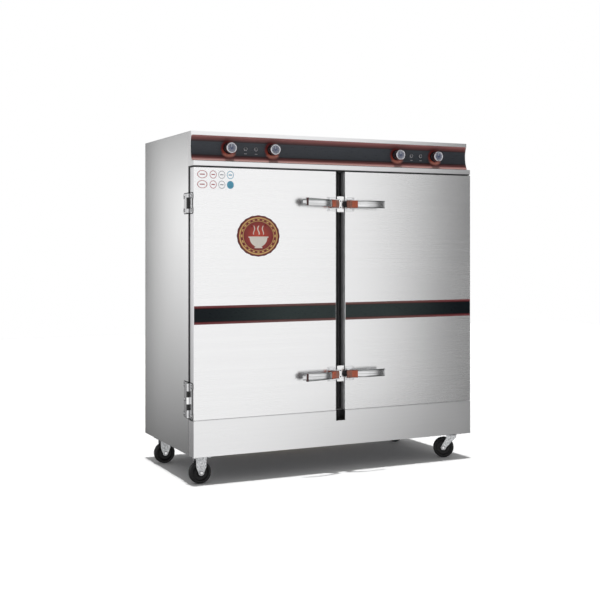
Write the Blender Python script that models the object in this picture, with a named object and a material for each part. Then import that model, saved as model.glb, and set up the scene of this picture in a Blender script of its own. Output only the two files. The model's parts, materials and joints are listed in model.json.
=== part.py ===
"""Two-door rice steamer cabinet on casters.

Metres, +Z up, the doors face -Y, +X is to the right of someone who faces them. The origin is on the
floor, under the middle of the whole object. Depths are measured from the door faces towards the back,
and heights from the underside of the body, which stands on the casters.
"""

import math

import bmesh
import bpy
import numpy as np
from mathutils import Matrix, Vector

# Body
BODY_WIDTH = 1.400
BODY_DEPTH = 0.680  # door faces to the back sheet
BODY_HEIGHT = 1.386
SHEET = 0.0010  # stainless sheet of the casing and the liners
SIDE_RIM = 0.020  # folded edges of the side panels
BASE_SHEET = 0.0015
BASE_RIM = 0.030
FRAME_RIM = 0.018
SEAT = 0.0003  # gap left between pieces that touch
OVERRUN = 0.010  # how far a cut runs past what it cuts
BITE = 0.0005  # how far fused bars run into each other

# Doors
DOOR_FOOT_GAP = 0.003  # from the apron's top to the doors
DOOR_HEAD_GAP = 0.007  # from the doors to the fascia's lip
DOOR_THICKNESS = 0.042
DOOR_RIM = 0.020  # folded edge of a door's inner skin
DOOR_GAP = 0.046  # between the two free edges
EDGE_ROUND_SHARE = 0.8  # rounding of a folded edge, of the sheet
GASKET_THICKNESS = 0.025
GASKET_WIDTH = 0.018
GASKET_LIP = 0.005  # each sealing lip of the gasket, across
GASKET_MARGIN_HINGE = 0.012
GASKET_MARGIN = 0.006
PLUG_DEPTH = 0.014  # raised middle of a door's inner skin
FRAME_MARGIN = 0.003  # gasket to the edge of a chamber's mouth

# Chambers
CHAMBER_BACK_GAP = 0.040  # insulation behind the liners
SUMP_FLOOR = 0.075
VENT_RADIUS = 0.020
VENT_BELOW_CEILING = 0.073
PIPE_WALL = 0.002
REAR_REACH = 0.045  # how far the vents stand out of the back
DRAIN_RADIUS = 0.011
DRAIN_INSET = 0.120  # ahead of the back sheet
DRAIN_SPIGOT_BELOW = 0.004

# Tray racks
TRAY_PITCH = 0.078
FIRST_LEVEL = 0.040  # above the sump cover
RACK_HEADROOM = 0.020  # least space between the racks and the ceiling
RACK_CLEARANCE = 0.003
RACK_FRONT = 0.050  # behind the chamber's mouth
RACK_BACK = 0.090  # ahead of the chamber's back wall
UPRIGHT_WIDTH = 0.020
UPRIGHT_THICKNESS = 0.003
LEDGE_WIDTH = 0.016
LEDGE_SHEET = 0.002
TIE_SIZE = 0.008

# Sump covers and heaters
COVER_DROP = 0.004  # cover top below the chamber's sill
COVER_CLEARANCE = 0.002
COVER_SHEET = 0.0015
COVER_HOLE_RADIUS = 0.012
COVER_HOLES = (4, 3)
HEATER_RADIUS = 0.0055
HEATER_BEND_STEPS = 6
HEATER_RUNS = 4
HEATER_PITCH = 0.090
HEATER_ABOVE_FLOOR = 0.030
HEATER_FRONT = 0.070
HEATER_FLANGE_MARGIN = 0.025  # beyond the outer runs
HEATER_FLANGE_SHEET = 0.004
HEATER_FLANGE_HEIGHT = 0.036
HEATER_STUB_RADIUS = 0.014
HEATER_STUB_LENGTH = 0.020

# Water feed and drain
TANK_CLEARANCE = 0.0058  # on each side, to the chamber liners
TANK_LENGTH = 0.130
TANK_RIM = 0.045  # above the middle of the inlet
LINK_RADIUS = 0.009
LINK_RISE = 0.020  # link pipes above the sump floor
LINK_REACH = 0.008
INLET_RADIUS = 0.010
INLET_RISE = 0.085
INLET_REACH = 0.030
MANIFOLD_RADIUS = 0.012
BRANCH_RADIUS = 0.0105
MANIFOLD_DROP = 0.032
VALVE_RADIUS = 0.018
VALVE_LENGTH = 0.046
VALVE_NUT_RADIUS = 0.016
VALVE_NUT_LENGTH = 0.014
VALVE_INSET = 0.025  # ahead of the back sheet
STEM_RADIUS = 0.004
STEM_HEIGHT = 0.007
DRAIN_LEVER_LENGTH = 0.055
DRAIN_LEVER_WIDTH = 0.014
DRAIN_LEVER_SHEET = 0.003
CABLE_COLLAR_RADIUS = 0.014
CABLE_COLLAR_LENGTH = 0.016
CABLE_COLLAR_INSET = 0.180  # from the right side
CABLE_COLLAR_DROP = 0.086  # below the top

# Control fascia above the doors
LIP_HEIGHT = 0.021
LIP_DEPTH = 0.002
PANEL_HEIGHT = 0.113
TOP_STRIP = 0.015  # above the panel
PANEL_BOTTOM_DEPTH = 0.026
PANEL_HOLLOW_DEPTH = 0.043
PANEL_TOP_DEPTH = 0.033
PANEL_STEPS = 7
CONTROL_RISE = 0.060  # middle of the knobs and lamps above the lip
KNOB_INSET = 0.175  # outer knob, from the side
KNOB_SPACING = 0.207
LAMP_SPACING = 0.050  # the two lamps lie midway between the knobs
KNOB_RADIUS = 0.0225
KNOB_LENGTH = 0.036
KNOB_WAIST = 0.020
KNOB_RIM = 0.003
KNOB_DISH = 0.0015
POINTER_WIDTH = 0.003
KNOB_STEPS = 16
SPINDLE_RADIUS = 0.003
SPINDLE_LENGTH = 0.014
SPINDLE_CLEARANCE = 0.0012
LAMP_RADIUS = 0.0085
LAMP_BEZEL = 0.003
LAMP_DOME = 0.004
LAMP_DOME_STEPS = 2
LAMP_BARREL_RADIUS = 0.006
LAMP_BARREL_LENGTH = 0.018

# Apron below the doors
APRON_TOP = 0.153
NOTCH_DEPTH = 0.043

# Latches: one lever on each door at two heights, and a keeper between them
LATCH_INSET = {"upper": 0.147, "lower": 0.165}  # from the door's top and from its bottom
LATCH_REACH = 0.052  # front of the levers ahead of the door faces
LATCH_PIN_OUT = 0.024
LATCH_PIN_RADIUS = 0.004
BOSS_RADIUS = 0.013
LEVER_LENGTH = 0.174
LEVER_HEIGHT_ROOT = 0.034
LEVER_HEIGHT_TIP = 0.030
LEVER_THICKNESS_ROOT = 0.010
LEVER_THICKNESS_TIP = 0.006
LEVER_FALL = 0.010  # how far the lever's tip curls back to the door
LEVER_PEAK_SHARE = 0.5
LEVER_STATIONS = 11
LEVER_CORNER_STEPS = 1
EAR_SHEET = 0.004
EAR_RADIUS = 0.011
EAR_SWEEP = math.radians(150)
BASE_PLATE_WIDTH = 0.042
BASE_PLATE_HEIGHT = 0.064
BASE_PLATE_SHEET = 0.003
BASE_PLATE_MARGIN = 0.004  # from the door's free edge
KEEPER_CLEARANCE = 0.0055  # from a door's free edge
KEEPER_HEIGHT = 0.072
KEEPER_SHEET = 0.002

# Hinges on the body's sides
HINGE_LENGTH = {"upper": 0.086, "lower": 0.152}
HINGE_INSET = {"upper": 0.109, "lower": 0.004}  # from the door's top and from its bottom
HINGE_OUT = 0.006  # pin axis beyond the body's side
HINGE_BEHIND = 0.011  # pin axis behind the door
BARREL_RADIUS = 0.007
HINGE_PIN_RADIUS = 0.003
LEAF_SHEET = 0.003
LEAF_REACH = 0.069  # body leaf, behind the pin axis
LEAF_FRONT = 0.006  # door leaf, behind the door face
LEAF_CORNER = 0.012
LEAF_CORNER_STEPS = 3
LEAF_CLEARANCE = 0.0015
KNUCKLE_SHARE = 0.5  # the body leaf's knuckle, of the barrel's length

# Casters: a rigid pair on the left, a swivel pair on the right
WHEEL_RADIUS = 0.049
WHEEL_HEADROOM = 0.022  # from the wheels to the underside of the body
WHEEL_WIDTH = 0.030
WHEEL_EDGE = 0.005
WHEEL_RIM_RADIUS = 0.034
WHEEL_WEB = 0.009
HUB_RADIUS = 0.013
AXLE_RADIUS = 0.006
FORK_SHEET = 0.003
FORK_CLEARANCE = 0.002
FORK_END_RADIUS = 0.013
FORK_TOP = 0.032
AXLE_HEAD = 0.004
AXLE_HEAD_RADIUS = 0.009
CASTER_PLATE = (0.084, 0.070, 0.003)
RIGID_INSET = 0.044  # from the side
RIGID_FRONT = 0.045
SWIVEL_INSET = 0.070
SWIVEL_FRONT = 0.058
CASTER_REAR = 0.156  # rear casters ahead of the back sheet
SWIVEL_HEADING = {"front": math.radians(147), "rear": math.radians(172)}
TRAIL = 0.037
RACE_RADIUS = 0.021
RACE_HEIGHT = 0.005
CROWN_RADIUS = 0.027
CROWN_HEIGHT = 0.004
CROWN_HALF = 0.024
KINGPIN_RADIUS = 0.006
KINGPIN_NUT_RADIUS = 0.010
KINGPIN_NUT = 0.004

ROUND_STEPS = 16
PIPE_STEPS = 12
SMALL_STEPS = 8
SMOOTH_ANGLE = math.radians(35)

# Heights above the underside of the body, worked out from the sizes above
PANEL_TOP = BODY_HEIGHT - TOP_STRIP
LIP_TOP = PANEL_TOP - PANEL_HEIGHT
LIP_BOTTOM = LIP_TOP - LIP_HEIGHT
CONTROL_HEIGHT = LIP_TOP + CONTROL_RISE
DOOR_TOP = LIP_BOTTOM - DOOR_HEAD_GAP
DOOR_BOTTOM = APRON_TOP + DOOR_FOOT_GAP
LATCH_HEIGHT = {"upper": DOOR_TOP - LATCH_INSET["upper"], "lower": DOOR_BOTTOM + LATCH_INSET["lower"]}
HINGE_BOTTOM = {
    "upper": DOOR_TOP - HINGE_INSET["upper"] - HINGE_LENGTH["upper"],
    "lower": DOOR_BOTTOM + HINGE_INSET["lower"],
}

# Places in the cabinet's own frame
HALF_WIDTH = BODY_WIDTH / 2
FACE_Y = (LATCH_REACH - BODY_DEPTH - REAR_REACH) / 2
BACK_Y = FACE_Y + BODY_DEPTH
BASE_Z = 2 * WHEEL_RADIUS + WHEEL_HEADROOM
TOP_Z = BASE_Z + BODY_HEIGHT
FRAME_Y = FACE_Y + DOOR_THICKNESS + GASKET_THICKNESS
INNER_X = HALF_WIDTH - SIDE_RIM - SEAT
HINGE_X = HALF_WIDTH + HINGE_OUT
HINGE_Y = FACE_Y + DOOR_THICKNESS + HINGE_BEHIND
MOUTH_OUTER_X = HALF_WIDTH - GASKET_MARGIN_HINGE - GASKET_WIDTH - FRAME_MARGIN
MOUTH_INNER_X = DOOR_GAP / 2 + GASKET_MARGIN + GASKET_WIDTH + FRAME_MARGIN
MOUTH_BOTTOM = BASE_Z + DOOR_BOTTOM + GASKET_MARGIN + GASKET_WIDTH + FRAME_MARGIN
MOUTH_TOP = BASE_Z + DOOR_TOP - GASKET_MARGIN - GASKET_WIDTH - FRAME_MARGIN
CHAMBER_X = (MOUTH_OUTER_X + MOUTH_INNER_X) / 2
CHAMBER_FRONT = FRAME_Y + SHEET + SEAT
CHAMBER_BACK = BACK_Y - CHAMBER_BACK_GAP
COVER_TOP = MOUTH_BOTTOM - COVER_DROP
RACK_SPACE = MOUTH_TOP - RACK_HEADROOM - COVER_TOP - SEAT - FIRST_LEVEL
TRAY_LEVELS = math.floor(RACK_SPACE / TRAY_PITCH)
VENT_Z = MOUTH_TOP - VENT_BELOW_CEILING
SUMP_Z = BASE_Z + SUMP_FLOOR
DRAIN_Y = BACK_Y - DRAIN_INSET
TANK_BACK = BACK_Y - SHEET - SEAT - BASE_SHEET - SEAT
TANK_HALF_WIDTH = MOUTH_INNER_X - SHEET - TANK_CLEARANCE
INLET_Z = SUMP_Z + INLET_RISE
TANK_MIDDLE_Y = TANK_BACK - TANK_LENGTH / 2
HEATER_Z = SUMP_Z + HEATER_ABOVE_FLOOR
MANIFOLD_Z = BASE_Z - MANIFOLD_DROP
VALVE_Y = BACK_Y - VALVE_INSET
LATCH_PIN_X = DOOR_GAP / 2 + BASE_PLATE_MARGIN
KNOB_X = {"outer": HALF_WIDTH - KNOB_INSET, "inner": HALF_WIDTH - KNOB_INSET - KNOB_SPACING}
LAMP_MIDDLE_X = (KNOB_X["outer"] + KNOB_X["inner"]) / 2
LAMP_X = {"outer": LAMP_MIDDLE_X + LAMP_SPACING / 2, "inner": LAMP_MIDDLE_X - LAMP_SPACING / 2}
RIGID_X = RIGID_INSET - HALF_WIDTH
SWIVEL_X = HALF_WIDTH - SWIVEL_INSET
RIGID_Y = {"front": FACE_Y + RIGID_FRONT, "rear": BACK_Y - CASTER_REAR}
SWIVEL_Y = {"front": FACE_Y + SWIVEL_FRONT, "rear": BACK_Y - CASTER_REAR}
FORK_INSIDE = WHEEL_WIDTH / 2 + FORK_CLEARANCE

SIDES = {"left": -1, "right": 1}
X_AXIS = Vector((1, 0, 0))
Y_AXIS = Vector((0, 1, 0))
Z_AXIS = Vector((0, 0, 1))


def material(name, colour, roughness, metallic):
    """A Principled material, made once for each finish."""
    found = bpy.data.materials.get(name)
    if found:
        return found
    made = bpy.data.materials.new(name)
    made.use_nodes = True
    shader = made.node_tree.nodes["Principled BSDF"]
    shader.inputs["Base Color"].default_value = (*colour, 1)
    shader.inputs["Roughness"].default_value = roughness
    shader.inputs["Metallic"].default_value = metallic
    return made


FINISHES = {
    "casing": ((0.72, 0.72, 0.73), 0.28, 1.0),
    "liner": ((0.66, 0.67, 0.68), 0.40, 1.0),
    "hardware": ((0.78, 0.78, 0.79), 0.20, 1.0),
    "keeper": ((0.86, 0.86, 0.86), 0.35, 1.0),
    "galvanised": ((0.62, 0.63, 0.64), 0.45, 1.0),
    "rubber": ((0.012, 0.012, 0.013), 0.70, 0.0),
    "gasket": ((0.020, 0.020, 0.022), 0.80, 0.0),
    "knob": ((0.015, 0.016, 0.020), 0.30, 0.0),
    "lamp": ((0.30, 0.31, 0.33), 0.25, 0.0),
    "heater": ((0.35, 0.36, 0.34), 0.45, 1.0),
    "brass": ((0.60, 0.45, 0.20), 0.35, 1.0),
    "lever_grip": ((0.60, 0.05, 0.02), 0.40, 0.0),
}


def add_object(name, bm, finish, origin=(0, 0, 0), smooth=True):
    """Turns a mesh in cabinet coordinates into a named object whose origin is at the given point."""
    bmesh.ops.recalc_face_normals(bm, faces=bm.faces)
    mesh = bpy.data.meshes.new(name)
    bm.to_mesh(mesh)
    bm.free()
    mesh.transform(Matrix.Translation(-Vector(origin)))
    made = bpy.data.objects.new(name, mesh)
    made.location = origin
    if finish:
        mesh.materials.append(material(finish, *FINISHES[finish]))
    bpy.context.scene.collection.objects.link(made)
    if smooth:
        mesh.shade_smooth()
        mesh.set_sharp_from_angle(angle=SMOOTH_ANGLE)
    return made


def block(low, high):
    """A box between two corners."""
    low, high = np.minimum(low, high), np.maximum(low, high)
    bm = bmesh.new()
    place = Matrix.Translation(Vector((low + high) / 2)) @ Matrix.Diagonal((*(high - low), 1))
    bmesh.ops.create_cube(bm, size=1, matrix=place)
    return bm


def folded_pan(low, high, wall, open_side):
    """A sheet folded into a tray: a box whose face on the open side is inset and sunk to the wall."""
    bm = block(low, high)
    bm.normal_update()
    mouth = max(bm.faces, key=lambda face: face.normal.dot(open_side))
    depth = abs((Vector(high) - Vector(low)).dot(open_side)) - wall
    bmesh.ops.inset_individual(bm, faces=[mouth], thickness=wall, use_even_offset=True)
    bmesh.ops.inset_individual(bm, faces=[mouth], thickness=0, depth=-depth)
    return bm


def prism(outline, to_space, start, end):
    """A flat outline pushed along a third direction. to_space maps (a, b, along) to a point."""
    bm = bmesh.new()
    corners = [bm.verts.new(to_space(a, b, start)) for a, b in outline]
    cap = bm.faces.new(corners)
    grown = bmesh.ops.extrude_face_region(bm, geom=[cap], use_keep_orig=True)
    moved = [item for item in grown["geom"] if isinstance(item, bmesh.types.BMVert)]
    shift = Vector(to_space(0, 0, end)) - Vector(to_space(0, 0, start))
    bmesh.ops.translate(bm, verts=moved, vec=shift)
    return bm


def along_x(a, b, along):
    return (along, a, b)


def along_y(a, b, along):
    return (a, along, b)


def along_z(a, b, along):
    return (a, b, along)


def turned(profile, centre, axis, steps=ROUND_STEPS, ring=False):
    """A lathe-turned solid. The profile is (radius, height along the axis) from one end to the other;
    a ring's profile is a closed loop that stays off the axis."""
    bm = bmesh.new()
    turn = axis.to_track_quat("Z", "Y").to_matrix()
    rows = []
    for radius, height in profile:
        count = steps if radius > 0 else 1
        angles = [math.tau * step / steps for step in range(count)]
        points = [Vector((radius * math.cos(angle), radius * math.sin(angle), height)) for angle in angles]
        rows.append([bm.verts.new(Vector(centre) + turn @ point) for point in points])
    pairs = list(zip(rows, rows[1:]))
    if ring:
        pairs.append((rows[-1], rows[0]))
    for lower, upper in pairs:
        for step in range(steps):
            after = (step + 1) % steps
            corners = [lower[step % len(lower)], lower[after % len(lower)]]
            corners += [upper[after % len(upper)], upper[step % len(upper)]]
            distinct = list(dict.fromkeys(corners))
            if len(distinct) > 2:
                bm.faces.new(distinct)
    return bm


def rod(centre, axis, radius, start, end, steps=PIPE_STEPS):
    """A round bar from start to end along its axis."""
    profile = [(0, start), (radius, start), (radius, end), (0, end)]
    return turned(profile, centre, axis, steps)


def running_bore(radius, steps):
    """Corner radius of a many-sided hole whose flats clear a round pin by the seat."""
    return (radius + SEAT) / math.cos(math.pi / steps)


def lofted(sections):
    """A solid through a row of cross-sections that have the same number of points."""
    bm = bmesh.new()
    rings = [[bm.verts.new(point) for point in section] for section in sections]
    count = len(rings[0])
    for lower, upper in zip(rings, rings[1:]):
        for index in range(count):
            after = (index + 1) % count
            bm.faces.new((lower[index], lower[after], upper[after], upper[index]))
    bm.faces.new(rings[0])
    bm.faces.new(rings[-1])
    return bm


def rounded_rectangle(width, height, radius, steps):
    """The outline of a rectangle about the origin, with round corners."""
    points = []
    for corner, (across, up) in enumerate(((1, 1), (-1, 1), (-1, -1), (1, -1))):
        centre = (across * (width / 2 - radius), up * (height / 2 - radius))
        for step in range(steps + 1):
            angle = math.pi / 2 * (corner + step / steps)
            points.append((centre[0] + radius * math.cos(angle), centre[1] + radius * math.sin(angle)))
    return points


def combine(target, operation, shapes):
    """Fuses shapes to an object, or cuts them out of it, and drops the tool objects."""
    for shape in shapes:
        tool = add_object("tool", shape, None, target.location, smooth=False)
        tool.hide_render = True
        tool.display_type = "WIRE"
        step = target.modifiers.new("combine", "BOOLEAN")
        step.operation = operation
        step.solver = "EXACT"
        step.object = tool
        bpy.context.view_layer.update()
        depsgraph = bpy.context.evaluated_depsgraph_get()
        result = bpy.data.meshes.new_from_object(target.evaluated_get(depsgraph))
        target.modifiers.remove(step)
        old = target.data
        target.data = result
        result.name = target.name
        bpy.data.meshes.remove(old)
        spare = tool.data
        bpy.data.objects.remove(tool)
        bpy.data.meshes.remove(spare)
    target.data.shade_smooth()
    target.data.set_sharp_from_angle(angle=SMOOTH_ANGLE)
    return target


def fuse(target, *shapes):
    return combine(target, "UNION", shapes)


def cut(target, *shapes):
    return combine(target, "DIFFERENCE", shapes)


def carrier(name, place, parent=None):
    """An empty on a joint's axis, which carries the pieces that move together."""
    made = bpy.data.objects.new(name, None)
    made.location = Vector(place) - (parent.matrix_world.translation if parent else Vector())
    made.parent = parent
    bpy.context.scene.collection.objects.link(made)
    bpy.context.view_layer.update()
    return made


def carry(holder, piece):
    """Parents a piece to the empty that it moves with, where it is."""
    piece.location = piece.location - holder.matrix_world.translation
    piece.parent = holder
    return piece


def mirrored_x(side, low, high):
    """The two x values, on the given side of the middle, from the smaller up."""
    return sorted((side * low, side * high))


def panel_depth(height):
    """Depth of the fascia's hollow panel at a height: a parabola through its two edges and its middle."""
    middle = (LIP_TOP + PANEL_TOP) / 2
    half = (PANEL_TOP - LIP_TOP) / 2
    share = (height - middle) / half
    edge = (PANEL_TOP_DEPTH + PANEL_BOTTOM_DEPTH) / 2
    slope = (PANEL_TOP_DEPTH - PANEL_BOTTOM_DEPTH) / 2
    return PANEL_HOLLOW_DEPTH + (edge - PANEL_HOLLOW_DEPTH) * share**2 + slope * share


def fascia_outline(inset):
    """The fascia's section as (y, z), drawn in by the inset; its back stays open when inset."""
    back = FRAME_Y - SEAT
    if inset:
        back += OVERRUN
    heights = np.linspace(LIP_TOP - inset, PANEL_TOP + inset, PANEL_STEPS + 1)
    points = [(back, BASE_Z + LIP_BOTTOM + inset), (FACE_Y + LIP_DEPTH + inset, BASE_Z + LIP_BOTTOM + inset)]
    points.append((FACE_Y + LIP_DEPTH + inset, BASE_Z + LIP_TOP - inset))
    for height in heights:
        points.append((FACE_Y + panel_depth(height) + inset, BASE_Z + height))
    points.append((FACE_Y + PANEL_TOP_DEPTH + inset, TOP_Z - inset))
    points.append((back, TOP_Z - inset))
    distinct = [points[0]]
    for point in points[1:]:
        if math.dist(point, distinct[-1]) > BITE:
            distinct.append(point)
    return distinct


def build_casing():
    """The outer sheets, the front frame with its mullion, and the base that the casters bolt to."""
    base_low = (-INNER_X, FACE_Y + SHEET + SEAT, BASE_Z)
    base_high = (INNER_X, BACK_Y - SHEET - SEAT, BASE_Z + BASE_RIM)
    base = add_object("base_pan", folded_pan(base_low, base_high, BASE_SHEET, Z_AXIS), "casing")
    drain_holes = [
        rod((side * CHAMBER_X, DRAIN_Y, BASE_Z), Z_AXIS, DRAIN_RADIUS + SEAT, -OVERRUN, OVERRUN)
        for side in SIDES.values()
    ]
    cut(base, *drain_holes)

    for name, side in SIDES.items():
        low_x, high_x = mirrored_x(side, HALF_WIDTH - SIDE_RIM, HALF_WIDTH)
        low = (low_x, FRAME_Y, BASE_Z)
        high = (high_x, BACK_Y - SHEET - SEAT, TOP_Z - SHEET - SEAT)
        add_object(f"side_panel_{name}", folded_pan(low, high, SHEET, -side * X_AXIS), "casing")

    bend = [(FRAME_Y, TOP_Z - SHEET), (FRAME_Y, TOP_Z), (BACK_Y, TOP_Z), (BACK_Y, BASE_Z)]
    bend += [(BACK_Y - SHEET, BASE_Z), (BACK_Y - SHEET, TOP_Z - SHEET)]
    rear = add_object("rear_top_sheet", prism(bend, along_x, -HALF_WIDTH, HALF_WIDTH), "casing")
    collar = (HALF_WIDTH - CABLE_COLLAR_INSET, BACK_Y, TOP_Z - CABLE_COLLAR_DROP)
    fuse(rear, rod(collar, Y_AXIS, CABLE_COLLAR_RADIUS, -BITE, CABLE_COLLAR_LENGTH))
    holes = [rod(collar, Y_AXIS, CABLE_COLLAR_RADIUS - PIPE_WALL, -OVERRUN, CABLE_COLLAR_LENGTH + OVERRUN)]
    for side in SIDES.values():
        vent = (side * CHAMBER_X, BACK_Y, VENT_Z)
        holes.append(rod(vent, Y_AXIS, VENT_RADIUS + SEAT, -OVERRUN, OVERRUN, ROUND_STEPS))
    inlet = (0, BACK_Y, INLET_Z)
    holes.append(rod(inlet, Y_AXIS, INLET_RADIUS + SEAT, -OVERRUN, OVERRUN))
    cut(rear, *holes)

    low = (-INNER_X, FRAME_Y, BASE_Z + BASE_RIM + SEAT)
    high = (INNER_X, FRAME_Y + FRAME_RIM, TOP_Z - SHEET - SEAT)
    frame = add_object("front_frame", folded_pan(low, high, SHEET, Y_AXIS), "casing")
    mouths = []
    for side in SIDES.values():
        low_x, high_x = mirrored_x(side, MOUTH_INNER_X, MOUTH_OUTER_X)
        near = (low_x, FRAME_Y - OVERRUN, MOUTH_BOTTOM)
        far = (high_x, FRAME_Y + SHEET + OVERRUN / 2, MOUTH_TOP)
        mouths.append(block(near, far))
    cut(frame, *mouths)


def build_apron():
    """The front panel below the doors: open at its back and underneath, with a notch at the middle."""
    low = (-HALF_WIDTH, FACE_Y, BASE_Z)
    high = (HALF_WIDTH, FRAME_Y - SEAT, BASE_Z + APRON_TOP)
    apron = add_object("apron", folded_pan(low, high, SHEET, Y_AXIS), "casing")
    below = block(
        (-HALF_WIDTH + SHEET, FACE_Y + SHEET, BASE_Z - OVERRUN),
        (HALF_WIDTH - SHEET, FRAME_Y + OVERRUN, BASE_Z + SHEET + BITE),
    )
    notch = block(
        (-DOOR_GAP / 2, FACE_Y - OVERRUN, BASE_Z + APRON_TOP - NOTCH_DEPTH),
        (DOOR_GAP / 2, FACE_Y + DOOR_THICKNESS, BASE_Z + APRON_TOP + OVERRUN),
    )
    cut(apron, below, notch)


def build_fascia():
    """The control housing: lip, hollow panel and top strip in one bent sheet with closed ends."""
    shape = prism(fascia_outline(0), along_x, -HALF_WIDTH, HALF_WIDTH)
    fascia = add_object("control_fascia", shape, "casing")
    inner = HALF_WIDTH - SHEET
    openings = [prism(fascia_outline(SHEET), along_x, -inner, inner)]
    control_y = FACE_Y + panel_depth(CONTROL_HEIGHT)
    for side in SIDES.values():
        for place, radius in [(x, SPINDLE_RADIUS) for x in KNOB_X.values()] + [
            (x, LAMP_BARREL_RADIUS) for x in LAMP_X.values()
        ]:
            centre = (side * place, control_y, BASE_Z + CONTROL_HEIGHT)
            hole = rod(centre, Y_AXIS, radius + SPINDLE_CLEARANCE, -OVERRUN, OVERRUN, SMALL_STEPS)
            openings.append(hole)
    cut(fascia, *openings)


def build_chamber(name, side):
    """One steam chamber: the liner with its sump, vent and drain, and what stands inside it."""
    low_x, high_x = mirrored_x(side, MOUTH_INNER_X, MOUTH_OUTER_X)
    low = (low_x - SHEET, CHAMBER_FRONT, SUMP_Z - SHEET)
    high = (high_x + SHEET, CHAMBER_BACK, MOUTH_TOP + SHEET)
    liner = add_object(f"chamber_liner_{name}", block(low, high), "liner")
    chamber = block((low_x, CHAMBER_FRONT - OVERRUN, MOUTH_BOTTOM), (high_x, CHAMBER_BACK - SHEET, MOUTH_TOP))
    sump = block((low_x, CHAMBER_FRONT + SHEET, SUMP_Z), (high_x, CHAMBER_BACK - SHEET, MOUTH_BOTTOM + BITE))
    cut(liner, chamber, sump)
    middle = side * CHAMBER_X
    vent = (middle, CHAMBER_BACK, VENT_Z)
    vent_end = CHAMBER_BACK_GAP + REAR_REACH
    drain = (middle, DRAIN_Y, SUMP_Z)
    drain_end = -SUMP_FLOOR - DRAIN_SPIGOT_BELOW
    fuse(
        liner,
        rod(vent, Y_AXIS, VENT_RADIUS, -BITE, vent_end, ROUND_STEPS),
        rod(drain, Z_AXIS, DRAIN_RADIUS, drain_end, -BITE),
    )
    stub = (middle, CHAMBER_BACK, HEATER_Z)
    link = (side * MOUTH_INNER_X, TANK_MIDDLE_Y, SUMP_Z + LINK_RISE)
    cut(
        liner,
        rod(vent, Y_AXIS, VENT_RADIUS - PIPE_WALL, -OVERRUN, vent_end + OVERRUN, ROUND_STEPS),
        rod(drain, Z_AXIS, DRAIN_RADIUS - PIPE_WALL, drain_end - OVERRUN, OVERRUN),
        rod(stub, Y_AXIS, HEATER_STUB_RADIUS + SEAT, -OVERRUN, OVERRUN),
        rod(link, X_AXIS, LINK_RADIUS + SEAT, -OVERRUN, OVERRUN),
    )
    build_sump_cover(name, low_x, high_x)
    build_heater(name, middle)
    build_rack(name, low_x, high_x)


def build_sump_cover(name, low_x, high_x):
    """A perforated plate over the water, standing on its two folded sides."""
    left, right = low_x + COVER_CLEARANCE, high_x - COVER_CLEARANCE
    front = CHAMBER_FRONT + SHEET + COVER_CLEARANCE
    back = CHAMBER_BACK - SHEET - HEATER_FLANGE_SHEET - COVER_CLEARANCE
    foot = SUMP_Z + SEAT
    outline = [(left, foot), (left, COVER_TOP), (right, COVER_TOP), (right, foot)]
    outline += [(right - COVER_SHEET, foot), (right - COVER_SHEET, COVER_TOP - COVER_SHEET)]
    outline += [(left + COVER_SHEET, COVER_TOP - COVER_SHEET), (left + COVER_SHEET, foot)]
    cover = add_object(f"sump_cover_{name}", prism(outline, along_y, front, back), "liner")
    across, deep = COVER_HOLES
    holes = []
    for column in range(across):
        for row in range(deep):
            x = left + (right - left) * (column + 1) / (across + 1)
            y = front + (back - front) * (row + 1) / (deep + 1)
            centre = (x, y, COVER_TOP)
            holes.append(rod(centre, Z_AXIS, COVER_HOLE_RADIUS, -OVERRUN, OVERRUN, SMALL_STEPS))
    link_side = left if abs(left) < abs(right) else right
    link = (link_side, TANK_MIDDLE_Y, SUMP_Z + LINK_RISE)
    holes.append(rod(link, X_AXIS, LINK_RADIUS + COVER_CLEARANCE, -OVERRUN, OVERRUN))
    cut(cover, *holes)


def heater_route(middle):
    """The heater's tube: straight runs to the front and back, joined by half turns."""
    back = CHAMBER_BACK - SHEET - SEAT - HEATER_FLANGE_SHEET / 2
    turn = HEATER_PITCH / 2
    front = CHAMBER_FRONT + HEATER_FRONT + turn
    rear = back - HEATER_FRONT
    first = middle - HEATER_PITCH * (HEATER_RUNS - 1) / 2
    points = [(first, back, HEATER_Z)]
    for run in range(HEATER_RUNS - 1):
        x = first + HEATER_PITCH * run
        forward = run % 2 == 0
        end = front if forward else rear - turn
        way = -1 if forward else 1
        for step in range(HEATER_BEND_STEPS + 1):
            angle = math.pi * step / HEATER_BEND_STEPS
            points.append((x + turn * (1 - math.cos(angle)), end + way * turn * math.sin(angle), HEATER_Z))
    points.append((first + HEATER_PITCH * (HEATER_RUNS - 1), back, HEATER_Z))
    return points


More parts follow.
